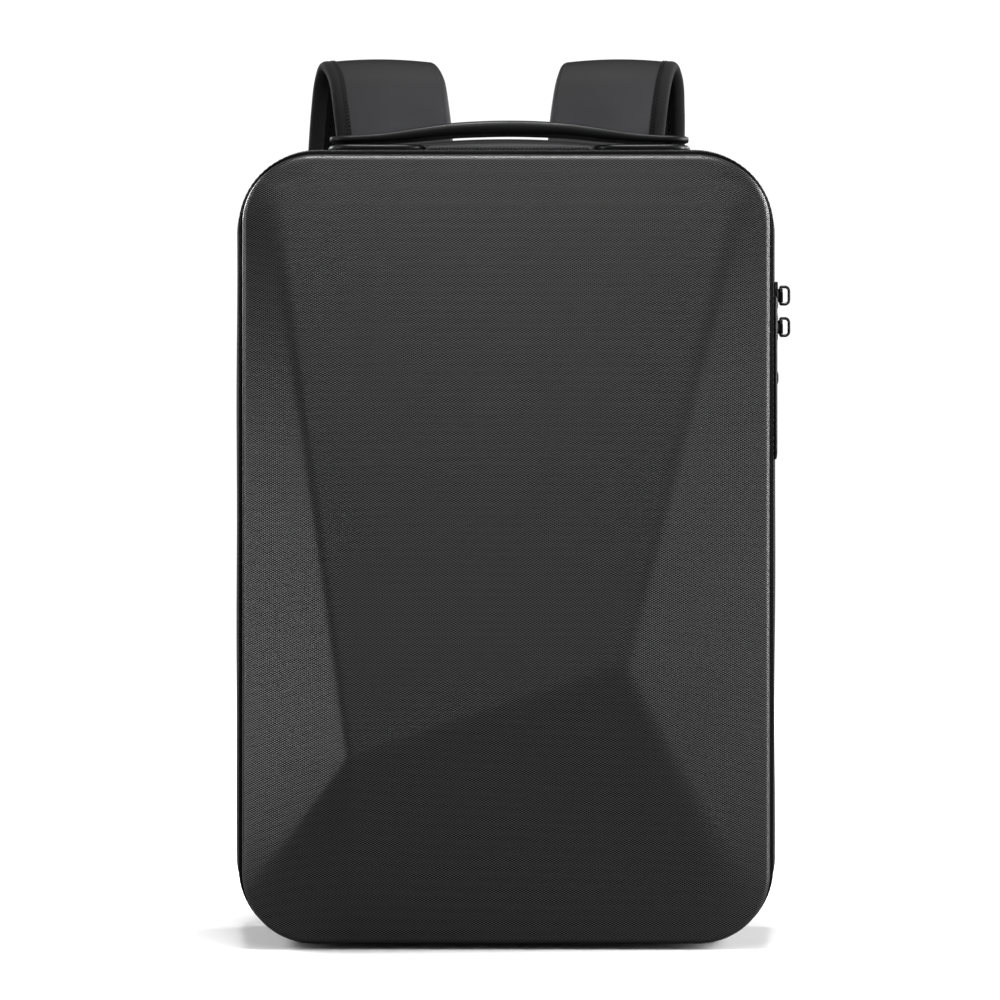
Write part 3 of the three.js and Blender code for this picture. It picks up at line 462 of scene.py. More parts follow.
def loft(name, rings, finish, joined=False, column_finish=None):
    """A closed skin over rings of points. joined leads the last ring on to the first. Otherwise both ends
    are capped."""
    rings = np.asarray(rings, float)
    count, around = rings.shape[:2]
    along = np.cumsum(np.linalg.norm(np.roll(rings, -1, 0) - rings, axis=2).mean(1))
    sideways = np.cumsum(np.linalg.norm(np.roll(rings, -1, 1) - rings, axis=2).mean(0))
    along, sideways = np.concatenate([[0], along]), np.concatenate([[0], sideways])
    i, j = np.meshgrid(np.arange(count - 1 + joined), np.arange(around), indexing="ij")
    steps = ((0, 0), (0, 1), (1, 1), (1, 0))
    faces = np.stack([((i + di) % count) * around + (j + dj) % around for di, dj in steps], 2)
    blocks = [faces.reshape(-1, 4)]
    uv = [np.stack([np.stack([sideways[j + dj], along[i + di]], 2) for di, dj in steps], 2).reshape(-1, 2)]
    finishes = np.tile(np.zeros(around, int) if column_finish is None else column_finish, count - 1 + joined)
    if not joined:
        first = np.arange(around)
        blocks += [first[::-1], first + (count - 1) * around]
        uv += [np.stack([sideways[cap], np.zeros(around)], 1) for cap in (first[::-1], first)]
        finishes = np.concatenate([finishes, [0, 0]])
    return skin(name, rings.reshape(-1, 3), blocks, np.concatenate(uv), finish, finishes)


station_length = np.linalg.norm(np.roll(outline(0, 0), -1, 0) - outline(0, 0), axis=1)
station_run = np.cumsum(station_length) - station_length
outline_length = station_length.sum()


def pucker(lengths, seed):
    """A gentle unevenness round the bag: waves of about these lengths, each a whole number round it."""
    phases = np.random.default_rng(seed).uniform(0, 2 * np.pi, len(lengths))
    waves = [np.sin(2 * np.pi * round(outline_length / length) * station_run / outline_length + phase)
             for length, phase in zip(lengths, phases)]
    return np.mean(waves, axis=0)


def fabric_band(name, front, rear, slack, finish, seed, rows):
    """A wall of cloth between two depths: turned under at both seams, puckered beside them, slack between."""
    fold = 0.0006
    near, far = pucker([0.011, 0.017, 0.029], seed), pucker([0.012, 0.019, 0.033], seed + 1)
    broad = pucker([0.13, 0.21, 0.34], seed + 2)
    section = [(front, -fabric_wall), (front, -fold * 0.8), (front + fold * 0.35, -fold * 0.2)]
    for share in np.linspace(0, 1, rows):
        y = front + fold + (rear - front - 2 * fold) * share
        from_front, from_rear = y - front, rear - y
        ripple = 0.00035 * (near * np.exp(-from_front / 0.006) + far * np.exp(-from_rear / 0.006))
        swell = slack * (0.35 * broad - 0.5) * np.sin(np.pi * share)
        section.append((y, ripple * np.sin(np.pi * share) ** 0.5 + swell))
    section += [(rear - fold * 0.35, -fold * 0.2), (rear, -fold * 0.8), (rear, -fabric_wall)]
    return loft(name, [lifted(y, lift) for y, lift in section], finish, joined=True)


# Threads that pass over and under each other
plain_weave, nodes, given, result = effect(
    "Plain weave", [("Surface", "Vector", None), ("Thread", "Float", 0.0005)],
    [("Height", "Float"), ("Warp", "Float")])
place = nodes.add("ShaderNodeSeparateXYZ", {0: given["Surface"]}).outputs
waves = []
for axis in ("X", "Y"):
    turns = nodes.math("DIVIDE", place[axis], given["Thread"])
    waves.append(nodes.math("SINE", nodes.math("MULTIPLY", turns, math.pi)))
over = nodes.math("MULTIPLY_ADD", nodes.math("MULTIPLY", waves[0], waves[1]), 0.5, 0.5)
warp = nodes.math("MULTIPLY", nodes.math("ABSOLUTE", waves[0]), over)
weft = nodes.math("MULTIPLY", nodes.math("ABSOLUTE", waves[1]), nodes.math("SUBTRACT", 1.0, over))
nodes.tree.links.new(nodes.math("ADD", warp, weft), result["Height"])
nodes.tree.links.new(over, result["Warp"])

# Threads that cross two at a time, so that the cloth shows slanting ribs
twill_weave, nodes, given, result = effect(
    "Twill weave", [("Surface", "Vector", None), ("Thread", "Float", 0.0006)], [("Height", "Float")])
place = nodes.add("ShaderNodeSeparateXYZ", {0: given["Surface"]}).outputs
slant = nodes.math("ADD", place["X"], place["Y"])
rib = nodes.math("SINE", nodes.math("MULTIPLY", nodes.math("DIVIDE", slant, given["Thread"]), math.pi / 2))
cross = nodes.math("SINE", nodes.math("MULTIPLY", nodes.math("DIVIDE", place["Y"], given["Thread"]), math.pi))
ribs = nodes.math("MULTIPLY_ADD", nodes.math("ABSOLUTE", cross), 0.35, nodes.math("ABSOLUTE", rib))
nodes.tree.links.new(ribs, result["Height"])


def cloth(name, weave, dark, light, thread, relief, roughness, painted_shade_heights=None, **sockets):
    """A woven cloth: threads stand out by relief, lighter on their crests, with broad uneven tone. Between
    the two heights given, it is painted darker upwards, as painted shade, until only that share of its
    lightness is left."""
    made, nodes, shader = material(name, light, roughness, **sockets)
    surface = nodes.add("ShaderNodeUVMap", uv_map="Surface").outputs["UV"]
    own_place = nodes.add("ShaderNodeTexCoord").outputs["Object"]
    threads = use(nodes, weave, {"Surface": surface, "Thread": thread})["Height"]
    speckle = use(nodes, grain, {"Place": own_place, "Grain size": thread * 1.7})
    raised = nodes.bump(threads, relief)
    connect(nodes, nodes.bump(speckle["Height"], relief / 2, 0.6, raised), shader, "Normal")
    shade = nodes.math("MULTIPLY", threads, nodes.remap(speckle["Mottle"], *mottle_range, 0.75, 1.0))
    # Painted shade: the cloth's colour darkens upwards between the two heights
    if painted_shade_heights:
        low, high, left = painted_shade_heights
        up = nodes.add("ShaderNodeSeparateXYZ", {0: own_place}).outputs["Z"]
        shade = nodes.math("MULTIPLY", shade, nodes.remap(up, low, high, 1.0, left))
    connect(nodes, nodes.mix(shade, (*dark, 1), (*light, 1)), shader, "Base Color")
    polish = nodes.remap(speckle["Height"], 0.2, 0.8, roughness - 0.06, roughness + 0.04)
    connect(nodes, polish, shader, "Roughness")
    return made


body_cloth = cloth(
    "Black polyester", plain_weave, dark=(0.003, 0.003, 0.0035), light=(0.015, 0.015, 0.016), thread=0.00055,
    relief=0.00012, roughness=0.78, Specular_IOR_Level=0.22, Sheen_Weight=0.03, Sheen_Roughness=0.5)
# The strip beside the shell is the same polyester made darker and duller: painted shade for its place in the
# recess between shell and zip
shaded_gusset_cloth = cloth(
    "Gusset cloth", plain_weave, dark=(0.001, 0.001, 0.0011), light=(0.006, 0.006, 0.0064), thread=0.00055,
    relief=0.00012, roughness=0.8, Specular_IOR_Level=0.06)
twill_tape = cloth(
    "Black twill tape", twill_weave, dark=(0.002, 0.002, 0.0023), light=(0.013, 0.013, 0.014), thread=0.0006,
    relief=0.00012, roughness=0.8, Specular_IOR_Level=0.15, Sheen_Weight=0.03, Sheen_Roughness=0.5)

front_low, front_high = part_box("front_gusset")
wall_low, wall_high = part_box("main_gusset")
front_cloth = fabric_band(
    "front_gusset_cloth", front_low.y, front_high.y, slack=0.0002, finish=shaded_gusset_cloth, seed=3, rows=9)
fit_out(front_cloth, "body_fabric", "front_gusset")
wall_cloth = fabric_band(
    "main_gusset_cloth", wall_low.y, wall_high.y, slack=0.0011, finish=body_cloth, seed=11, rows=27)
fit_out(wall_cloth, "body_fabric", "main_gusset")


# Zip. Two woven tapes are sewn under the edges of the cloth, and a nylon coil is sewn along each. The coils
# mesh up one side, over the top and down the other. Underneath, the tape alone is the bag's hinge.
tape_low, tape_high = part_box("zip_tape")
zip_centre = (tape_low.y + tape_high.y) / 2
tape_sink, tape_thickness = 0.001, 0.001
tooth_pitch, tooth_length, tooth_height = 0.0015, 0.0026, 0.0016
zip_ends = {"low_right": 324.5, "low_left": 200}

tape_edges = [
    (tape_low.y, -0.25), (tape_low.y + 0.0004, 0.0), (zip_centre - 0.003, 0.0), (zip_centre - 0.0024, 0.2)]
tape_section = tape_edges + [(2 * zip_centre - y, lift) for y, lift in tape_edges[::-1]]
tape_rings = [lifted(y, -tape_sink + lift * tape_thickness) for y, lift in tape_section]
tape_rings += [lifted(y, -tape_sink - tape_thickness) for y in (tape_high.y, tape_low.y)]
fit_out(loft("zip_tape_weave", tape_rings, twill_tape, joined=True), "tape", "zip_tape")

zip_nylon = grained(
    "Black nylon coil", (0.01, 0.01, 0.011), 0.38, grain_size=0.0005, relief=0.00003, sharpness=0.4,
    polish=(0.3, 0.44))


def beads_along(name, tall):
    """Geometry nodes that set beads along the input's lines, lying along or, if tall, across them."""
    tree = bpy.data.node_groups.new(name, "GeometryNodeTree")
    tree.interface.new_socket("Geometry", in_out="INPUT", socket_type="NodeSocketGeometry")
    for label in ("Pitch", "Length", "Width", "Height"):
        tree.interface.new_socket(label, in_out="INPUT", socket_type="NodeSocketFloat")
    tree.interface.new_socket("Material", in_out="INPUT", socket_type="NodeSocketMaterial")
    tree.interface.new_socket("Geometry", in_out="OUTPUT", socket_type="NodeSocketGeometry")
    nodes = Nodes(tree)
    given = nodes.add("NodeGroupInput").outputs
    lines = nodes.add("GeometryNodeMeshToCurve", {"Mesh": given["Geometry"]}).outputs["Curve"]
    spaced = nodes.add("GeometryNodeResampleCurve", mode="LENGTH")
    tree.links.new(lines, spaced.inputs["Curve"])
    tree.links.new(given["Pitch"], spaced.inputs["Length"])
    bead = nodes.add("GeometryNodeMeshUVSphere", {"Segments": 8 if tall else 6, "Rings": 5 if tall else 4})
    bead.inputs["Radius"].default_value = 0.5
    size = nodes.add("ShaderNodeCombineXYZ", {
        "X": given["Length"], "Y": given["Width"], "Z": given["Height"]})
    tangent = nodes.add("GeometryNodeInputTangent").outputs["Tangent"]
    turn = nodes.add("FunctionNodeAxesToRotation", primary_axis="X", secondary_axis="Y")
    tree.links.new(tangent, turn.inputs[0])
    turn.inputs[1].default_value = (0, 1, 0)
    placed = nodes.add("GeometryNodeInstanceOnPoints", {
        "Points": spaced.outputs["Curve"], "Instance": bead.outputs["Mesh"], "Rotation": turn.outputs[0],
        "Scale": size.outputs[0]})
    real = nodes.add("GeometryNodeRealizeInstances", {"Geometry": placed.outputs["Instances"]})
    smooth = nodes.add("GeometryNodeSetShadeSmooth", {"Geometry": real.outputs["Geometry"]})
    finished = nodes.add("GeometryNodeSetMaterial", {
        "Geometry": smooth.outputs["Geometry"], "Material": given["Material"]})
    tree.links.new(finished.outputs["Geometry"], nodes.add("NodeGroupOutput").inputs["Geometry"])
    return tree


def grow(name, tree, runs, values):
    """Runs a geometry node tree on lines of points and keeps the result as a plain mesh."""
    points = np.concatenate(runs)
    starts = np.cumsum([0] + [len(run) for run in runs[:-1]])
    edges = [(start + i, start + i + 1) for start, run in zip(starts, runs) for i in range(len(run) - 1)]
    mesh = bpy.data.meshes.new(name)
    mesh.from_pydata(points.tolist(), edges, [])
    thing = bpy.data.objects.new(name, mesh)
    bpy.context.scene.collection.objects.link(thing)
    modifier = thing.modifiers.new(name, "NODES")
    modifier.node_group = tree
    for socket in tree.interface.items_tree:
        if socket.in_out == "INPUT" and socket.name in values:
            modifier[socket.identifier] = values[socket.name]
    evaluated = thing.evaluated_get(bpy.context.evaluated_depsgraph_get())
    result = bpy.data.meshes.new_from_object(evaluated)
    thing.modifiers.clear()
    thing.data = result
    return thing


first_tooth = nearest_station(corner_point(zip_ends["low_right"]))
last_tooth = nearest_station(corner_point(zip_ends["low_left"]))
coil_lift = -tape_sink + 0.0003 + tooth_height / 2
coil_runs = []
for way in (-1, 1):
    line = lifted(zip_centre + way * 0.0008, coil_lift)[first_tooth:last_tooth + 1]
    start = line[0] + (line[1] - line[0]) * (0.5 if way > 0 else 0.0)
    coil_runs.append(np.concatenate([[start], line[1:]])[::-1])
teeth = grow("zip_coil", beads_along("Zip coil", True), coil_runs, {
    "Pitch": tooth_pitch, "Length": tooth_pitch * 0.78, "Width": tooth_length, "Height": tooth_height,
    "Material": zip_nylon})
fit_out(teeth, "zip_plastic", "zip_teeth")

# Sewing thread, and the tree that lays stitches along a seam
thread = grained(
    "Black thread", (0.018, 0.018, 0.019), 0.6, grain_size=0.0003, relief=0.00004, sharpness=0.6)
dull_thread = grained(
    "Dull black thread", (0.001, 0.001, 0.001), 0.8, grain_size=0.0003, relief=0.00004, sharpness=0.6,
    Specular_IOR_Level=0.1)
stitch_tree = beads_along("Stitches", False)


def sew(name, runs, slot, pitch=0.0036, length=0.0029, thickness=0.00055, finish=thread):
    """Stitches along lines of points, half sunk in the cloth."""
    values = {"Pitch": pitch, "Length": length, "Width": thickness, "Height": thickness, "Material": finish}
    return fit_out(grow(name, stitch_tree, runs, values), slot)


def seam_round(y):
    ring = lifted(y, 0.0)
    return np.concatenate([ring, ring[:1]])


gusset_seam, wall_front_seam, wall_rear_seam = 0.0022, 0.0024, 0.0034
seam_depths = (front_low.y + gusset_seam, front_high.y - gusset_seam,
               wall_low.y + wall_front_seam, wall_high.y - wall_rear_seam)
sew("gusset_seams", [seam_round(y) for y in seam_depths], "body_fabric")


# Back panel. Soft foam is covered with a black knitted mesh and quilted: two tall pads, a lower pad and air
# channels between them. A cord in twill is sewn into the seam round it.
panel_low, panel_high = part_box("back_panel")
panel_front, panel_back = panel_low.y, panel_high.y
panel_tuck, panel_foot = 0.0014, 0.006
piping_radius = 0.0023
panel_body = body_at(shell_rear + body_depth)


def panel_ring(y, inset):
    top, bottom = panel_body["top"] - panel_tuck - inset, -panel_foot - inset
    return outline(y, panel_tuck - inset, top, bottom, panel_body["crown"])


air_holes, nodes, given, result = effect(
    "Knitted mesh", [("Surface", "Vector", None), ("Hole spacing", "Float", 0.0032)],
    [("Height", "Float"), ("Hole", "Float")])
place = nodes.add("ShaderNodeSeparateXYZ", {0: given["Surface"]}).outputs
total = None
for way_x, way_z in ((1.0, 0.0), (0.5, 0.866), (-0.5, 0.866)):
    share_x, share_z = nodes.math("MULTIPLY", place["X"], way_x), nodes.math("MULTIPLY", place["Y"], way_z)
    turns = nodes.math("DIVIDE", nodes.math("ADD", share_x, share_z), given["Hole spacing"])
    wave = nodes.math("COSINE", nodes.math("MULTIPLY", turns, 2 * math.pi))
    total = wave if total is None else nodes.math("ADD", total, wave)
hole = nodes.remap(total, 0.6, 1.9, 0.0, 1.0)
nodes.tree.links.new(hole, result["Hole"])
nodes.tree.links.new(nodes.math("SUBTRACT", 1.0, hole), result["Height"])


def air_mesh(name, spacing, unrolled, knit_shade):
    """Black knitted mesh over foam, laid along an unrolled strap, or else flat as seen from behind."""
    made, nodes, shader = material(
        name, (0.012, 0.012, 0.013), 0.85, Specular_IOR_Level=0.1, Sheen_Weight=0.02, Sheen_Roughness=0.4)
    own_place = nodes.add("ShaderNodeTexCoord").outputs["Object"]
    seen = nodes.add("ShaderNodeSeparateXYZ", {0: own_place}).outputs
    surface = nodes.add("ShaderNodeCombineXYZ", {"X": seen["X"], "Y": seen["Z"]}).outputs[0]
    if unrolled:
        surface = nodes.add("ShaderNodeUVMap", uv_map="Surface").outputs["UV"]
    knit = use(nodes, air_holes, {"Surface": surface, "Hole spacing": spacing})
    speckle = use(nodes, grain, {"Place": own_place, "Grain size": 0.0004})
    raised = nodes.bump(knit["Height"], 0.0005)
    connect(nodes, nodes.bump(speckle["Height"], 0.0001, 0.7, raised), shader, "Normal")
    yarn, dark = (knit_shade, knit_shade, knit_shade * 1.05, 1), (0.0005, 0.0005, 0.0005, 1)
    connect(nodes, nodes.mix(knit["Hole"], yarn, dark), shader, "Base Color")
    return made


panel_mesh = air_mesh("Air mesh", spacing=0.0032, unrolled=False, knit_shade=0.02)


def places(mesh):
    found = np.empty(len(mesh.vertices) * 3, np.float32)
    mesh.vertices.foreach_get("co", found)
    return found.reshape(-1, 3)


def as_mesh(thing):
    """The thing's mesh with its modifiers in it, and no modifier left."""
    evaluated = thing.evaluated_get(bpy.context.evaluated_depsgraph_get())
    mesh = bpy.data.meshes.new_from_object(evaluated)
    thing.modifiers.clear()
    thing.data = mesh
    return mesh


def swell(thing, pinned, reach, voxel=0.005, pressure=4.0, frames=20):
    """Fills a closed cover as foam does. Points that pinned picks stay, and no point moves beyond reach."""
    remesh = thing.modifiers.new("cover", "REMESH")
    remesh.mode, remesh.voxel_size, remesh.use_smooth_shade = "VOXEL", voxel, True
    mesh = as_mesh(thing)
    flat = places(mesh).copy()
    seam = thing.vertex_groups.new(name="seam")
    seam.add(np.flatnonzero(pinned(flat)).tolist(), 1.0, "REPLACE")
    cover = thing.modifiers.new("swell", "CLOTH")
    cover.settings.use_pressure = True
    cover.settings.uniform_pressure_force = pressure
    cover.settings.vertex_group_mass = seam.name
    cover.settings.effector_weights.gravity = 0
    cover.point_cache.frame_start, cover.point_cache.frame_end = 1, frames
    for moment in range(1, frames + 1):
        bpy.context.scene.frame_set(moment)
    moved = places(as_mesh(thing)) - flat
    bpy.context.scene.frame_set(1)
    far = np.linalg.norm(moved, axis=1, keepdims=True)
    flat += moved * np.minimum(1, reach / np.maximum(far, 1e-9))
    thing.data.vertices.foreach_set("co", flat.ravel())
    thing.modifiers.new("finer", "SUBSURF").levels = 1
    return as_mesh(thing)


panel_rows = [
    (0.0, 0.0012), (0.1, 0.0), (0.3, 0.0003), (0.5, 0.0022), (0.64, 0.006), (0.72, 0.012), (0.76, 0.02)]
panel_rings = [panel_ring(panel_front + at * (panel_back - panel_front), inset) for at, inset in panel_rows]
panel = loft("back_pad", panel_rings, panel_mesh)
panel_skin = swell(panel, lambda at: at[:, 1] < panel_front + 0.004, reach=0.006)

# Channels are sewn down into the foam: one up the middle, and three across
channel_depth, channel_width = 0.0055, 0.0055
spine_width, spine_depth = 0.012, 0.8
spine_ends, side_ends, channel_fade = (0.06, 0.395), (0.045, 0.43), 0.012
cross_channels, channel_slope = (0.118, 0.232, 0.346), 0.35
quilt_half = 0.118
stitched_from, stitched_run = 0.006, 0.003


def between(z, low, high):
    """Fades from 0 at a channel's lower end to 1, and back to 0 at its upper end."""
    return np.clip((high - z) / channel_fade, 0, 1) * np.clip((z - low) / channel_fade, 0, 1)


def sunk(x, z):
    """How deep the sewn channels lie under the foam's rear face."""
    spine = np.exp(-(x / spine_width) ** 4) * spine_depth * between(z, *spine_ends)
    heights = [at + channel_slope * np.abs(x) - 0.02 for at in cross_channels]
    across = sum(np.exp(-((z - height) / channel_width) ** 2) for height in heights)
    across = across * np.clip((quilt_half - np.abs(x)) / 0.01, 0, 1)
    sides = np.exp(-((np.abs(x) - quilt_half) / channel_width) ** 2) * between(z, *side_ends)
    return channel_depth * np.maximum.reduce([spine, across, sides])


at = places(panel_skin).copy()
rear = np.clip((at[:, 1] - panel_front - stitched_from) / stitched_run, 0, 1)
at[:, 1] -= rear * sunk(at[:, 0], at[:, 2])
at[:, 1] = np.minimum(at[:, 1], panel_back - 0.0001)
panel_skin.vertices.foreach_set("co", at.ravel())
panel_skin.update()
panel_skin.shade_smooth()
fit_out(panel, "air_mesh", "back_panel")

cord_rings = []
for turn in np.linspace(0, 2 * np.pi, 17)[:-1]:
    out = panel_tuck + seam_gap + piping_radius + piping_radius * math.cos(turn)
    top, bottom = panel_body["top"] - 2 * panel_tuck + out, out - panel_foot - panel_tuck
    y = panel_front + piping_radius + piping_radius * math.sin(turn)
    cord_rings.append(outline(y, out, top, bottom, panel_body["crown"]))
fit_out(loft("rear_piping_cord", cord_rings, twill_tape, joined=True), "body_fabric", "rear_piping")


# Base plates, posts and band. Two hard plates lie on the top seam, each with a ribbed post for the handle's
# screw. A narrow padded band of cloth fills the space between them, piped and overcast along its front edge.
moulded = grained(
    "Black moulded plastic", (0.01, 0.01, 0.0105), 0.36, grain_size=0.0003, relief=0.00003, sharpness=0.5,
    polish=(0.3, 0.44), tones=((0.008, 0.008, 0.0085), (0.013, 0.013, 0.0135)), Specular_IOR_Level=0.28)


def softened(name, node, radius, finish, slot):
    """A copy of a hard node with its edges rounded, as they leave the mould."""
    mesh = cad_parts[node].data.copy()
    mesh.name = name
    mesh.materials.clear()
    mesh.materials.append(finish)
    work = bmesh.new()
    work.from_mesh(mesh)
    bmesh.ops.remove_doubles(work, verts=work.verts, dist=1e-5)
    bmesh.ops.dissolve_limit(work, angle_limit=math.radians(2), verts=work.verts, edges=work.edges)
    sharp = [edge for edge in work.edges
             if len(edge.link_faces) == 2 and edge.calc_face_angle(0) > math.radians(25)]
    bmesh.ops.bevel(
        work, geom=sharp, offset=radius, segments=3, profile=0.5, affect="EDGES", clamp_overlap=True)
    for face in work.faces:
        face.material_index = 0
    bmesh.ops.triangulate(work, faces=[face for face in work.faces if len(face.verts) > 4])
    work.to_mesh(mesh)
    work.free()
    mesh.shade_smooth()
    mesh.set_sharp_from_angle(angle=math.radians(35))
    thing = bpy.data.objects.new(name, mesh)
    bpy.context.scene.collection.objects.link(thing)
    return fit_out(thing, slot, node)


def turned(name, centre, turns, radius, low, high, bevel, finish):
    """An upright round piece. radius may differ from turn to turn. bevel is its rims' inset and height."""
    inset, rise = bevel
    rings = []
    for z, inward in ((low, inset), (low + rise, 0.0), (high - rise, 0.0), (high, inset)):
        x = centre[0] + (radius - inward) * np.cos(turns)
        y = centre[1] + (radius - inward) * np.sin(turns)
        rings.append(np.stack([x, y, np.full_like(turns, z)], 1))
    return loft(name, rings, finish)


post_ribs, post_groove, post_bevel = 18, 0.0003, (0.0004, 0.0002)
for name in ("left", "right"):
    softened(f"base_plate_{name}", f"handle_plate_{name}", 0.0004, moulded, "hard_plastic")
    low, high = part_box(f"handle_post_{name}")
    turns = np.linspace(0, 2 * np.pi, post_ribs * 6 + 1)[:-1]
    out = (high.x - low.x) / 2 - post_groove * (0.5 - 0.5 * np.cos(post_ribs * turns))
    middle = (low + high) / 2
    post = turned(f"ribbed_post_{name}", middle[:2], turns, out, low.z, high.z, post_bevel, moulded)
    fit_out(post, "hard_plastic", f"handle_post_{name}")


def bar(width, thickness, radius, steps=5, flats=1):
    """A rectangle with round corners, walked once round from its right side over its top."""
    r = min(radius, width / 2, thickness / 2)
    half_flat, half_side = width / 2 - r, thickness / 2 - r
    points = []
    for u, v, start in ((1, 1, 0), (-1, 1, 90), (-1, -1, 180), (1, -1, 270)):
        for turn in np.radians(np.linspace(start, start + 90, steps + 1)):
            points.append((u * half_flat + r * math.cos(turn), v * half_side + r * math.sin(turn)))
        if flats > 1 and start in (0, 180):
            first, last = points[-1], (-points[-1][0], points[-1][1])
            points += [(first[0] + (last[0] - first[0]) * k / flats, first[1]) for k in range(1, flats)]
    return np.array(points)


def sweep(name, line, across, sections, finish, joined=False, column_finish=None):
    """Carries sections along a line. Their first side lies across, their second stands off the line."""
    line, across = np.asarray(line, float), np.asarray(across, float)
    ahead, behind = np.roll(line, -1, 0), np.roll(line, 1, 0)
    if not joined:
        ahead[-1], behind[0] = line[-1], line[0]
    outward = np.cross(across, ahead - behind)
    outward /= np.linalg.norm(outward, axis=1, keepdims=True)
    rings = [point + u[:, None] * across + v[:, None] * out
             for point, out, (u, v) in zip(line, outward, (np.asarray(section).T for section in sections))]
    return loft(name, rings, finish, joined, column_finish)


band_low, band_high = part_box("top_band")
band_middle = (band_low + band_high) / 2
band_length, band_depth = band_high.x - band_low.x, band_high.y - band_low.y
band_rise = band_high.z - band_low.z
band_shares = [0, 0.004, 0.012, 0.03, *np.linspace(0.06, 0.94, 45), 0.97, 0.988, 0.996, 1]
band_sections, band_line = [], []
for share in band_shares:
    end = min(share, 1 - share)
    height = band_rise * (0.72 + 0.28 * (1 - (2 * share - 1) ** 2)) * min(1, 0.35 + (end / 0.02) ** 0.5)
    line_z = band_low.z + height / 2
    band_line.append((band_low.x + share * band_length, band_middle.y, line_z))
    band_sections.append(bar(band_depth, height, 0.0016, 5, 14))
# The band's cloth is made far lighter than the body's: painted highlight on its lit top
lit_band_cloth = cloth(
    "Band cloth", plain_weave, dark=(0.02, 0.02, 0.021), light=(0.13, 0.13, 0.135), thread=0.0005,
    relief=0.0001, roughness=0.62)
band = sweep("padded_band", band_line, (0, -1, 0), band_sections, lit_band_cloth)
fit_out(band, "body_fabric", "top_band")
band_cord = np.linspace(band_low.x + 0.001, band_high.x - 0.001, 90)
cord_line = np.stack([band_cord, np.full(90, band_low.y + 0.0002), np.full(90, band_low.z + 0.0009)], 1)
cord_sections = [bar(0.0018, 0.0018, 0.0009, 3)] * 90
fit_out(sweep("band_piping", cord_line, (0, -1, 0), cord_sections, twill_tape), "body_fabric")
overcast = [cord_line - (0, 0.0009, 0)]
sew("band_overcast", overcast, "body_fabric", pitch=0.0022, length=0.0010, thickness=0.0007)


# Carrying handle. A strap of moulded rubber, thick and arched in the middle, is screwed down through its thin
# ends. Each end stands on its post.
handle_low, handle_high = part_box("top_handle")
handle_middle = (handle_low + handle_high) / 2
handle_half = (handle_high.x - handle_low.x) / 2
handle_width = handle_high.y - handle_low.y
handle_thickness, handle_drop, handle_slim = 0.0088, 0.0099, 0.0011
handle_rows = [
    {"reach": 0.0, "drop": 0.0, "thick": 1.0, "wide": 1.0},
    {"reach": 0.16, "drop": 0.04, "thick": 0.99, "wide": 1.0},
    {"reach": 0.32, "drop": 0.16, "thick": 0.93, "wide": 1.0},
    {"reach": 0.5, "drop": 0.44, "thick": 0.8, "wide": 0.98},
    {"reach": 0.66, "drop": 0.73, "thick": 0.61, "wide": 0.94},
    {"reach": 0.82, "drop": 0.91, "thick": 0.455, "wide": 0.9},
    {"reach": 0.93, "drop": 0.95, "thick": 0.41, "wide": 0.82},
    {"reach": 0.98, "drop": 0.96, "thick": 0.385, "wide": 0.6},
    {"reach": 1.0, "drop": 1.0, "thick": 0.295, "wide": 0.4},
]

# Steps along a curve are measured as roots. One that is shorter than alike counts as beyond_alike
alike, beyond_alike = 3e-6, 0.001 ** 0.5


def curve_at(points, shares):
    """Points on a smooth curve through a list of points, at shares of the way from its first to its last."""
    points = np.asarray(points, float)
    ends = np.concatenate([[2 * points[0] - points[1]], points, [2 * points[-1] - points[-2]]])
    at = np.clip(np.asarray(shares) * (len(points) - 1), 0, len(points) - 1 - 1e-9)
    first = at.astype(int)
    share = (at - first)[:, None]
    p0, p1, p2, p3 = (ends[first + k] for k in range(4))
    steps = (p1 - p0, p2 - p1, p3 - p2)
    d0, d1, d2 = (np.linalg.norm(step, axis=1, keepdims=True) ** 0.5 for step in steps)
    d1 = np.where(d1 < alike, beyond_alike, d1)
    d0, d2 = np.where(d0 < alike, d1, d0), np.where(d2 < alike, d1, d2)
    start = ((p1 - p0) / d0 - (p2 - p0) / (d0 + d1) + (p2 - p1) / d1) * d1
    end = ((p2 - p1) / d1 - (p3 - p1) / (d1 + d2) + (p3 - p2) / d2) * d1
    bend = 3 * (p2 - p1) - 2 * start - end
    return p1 + start * share + bend * share ** 2 + (2 * (p1 - p2) + start + end) * share ** 3


rubber = grained(
    "Satin rubber", (0.007, 0.007, 0.0073), 0.42, grain_size=0.00035, relief=0.00005, sharpness=0.6,
    polish=(0.36, 0.5), Specular_IOR_Level=0.25)

half_rows = np.array([[row["reach"] * handle_half, handle_high.z - row["drop"] * handle_drop
                       - row["thick"] * handle_thickness / 2, row["thick"] * handle_thickness,
                       row["wide"] * handle_width] for row in handle_rows])
whole_rows = np.concatenate([half_rows[:0:-1] * [-1, 1, 1, 1], half_rows])
handle_run = curve_at(whole_rows, np.linspace(0, 1, 161))
handle_line = [(x + handle_middle.x, handle_middle.y, z) for x, z, _, _ in handle_run]
handle_sections = []
for _, _, thickness, width in handle_run:
    thickness -= handle_slim * (thickness / handle_thickness) ** 2
    handle_sections.append(bar(width, thickness, thickness * 0.42, 5, 6))
handle = sweep("carrying_handle", handle_line, (0, 1, 0), handle_sections, rubber)
fit_out(handle, "handle_rubber", "top_handle")


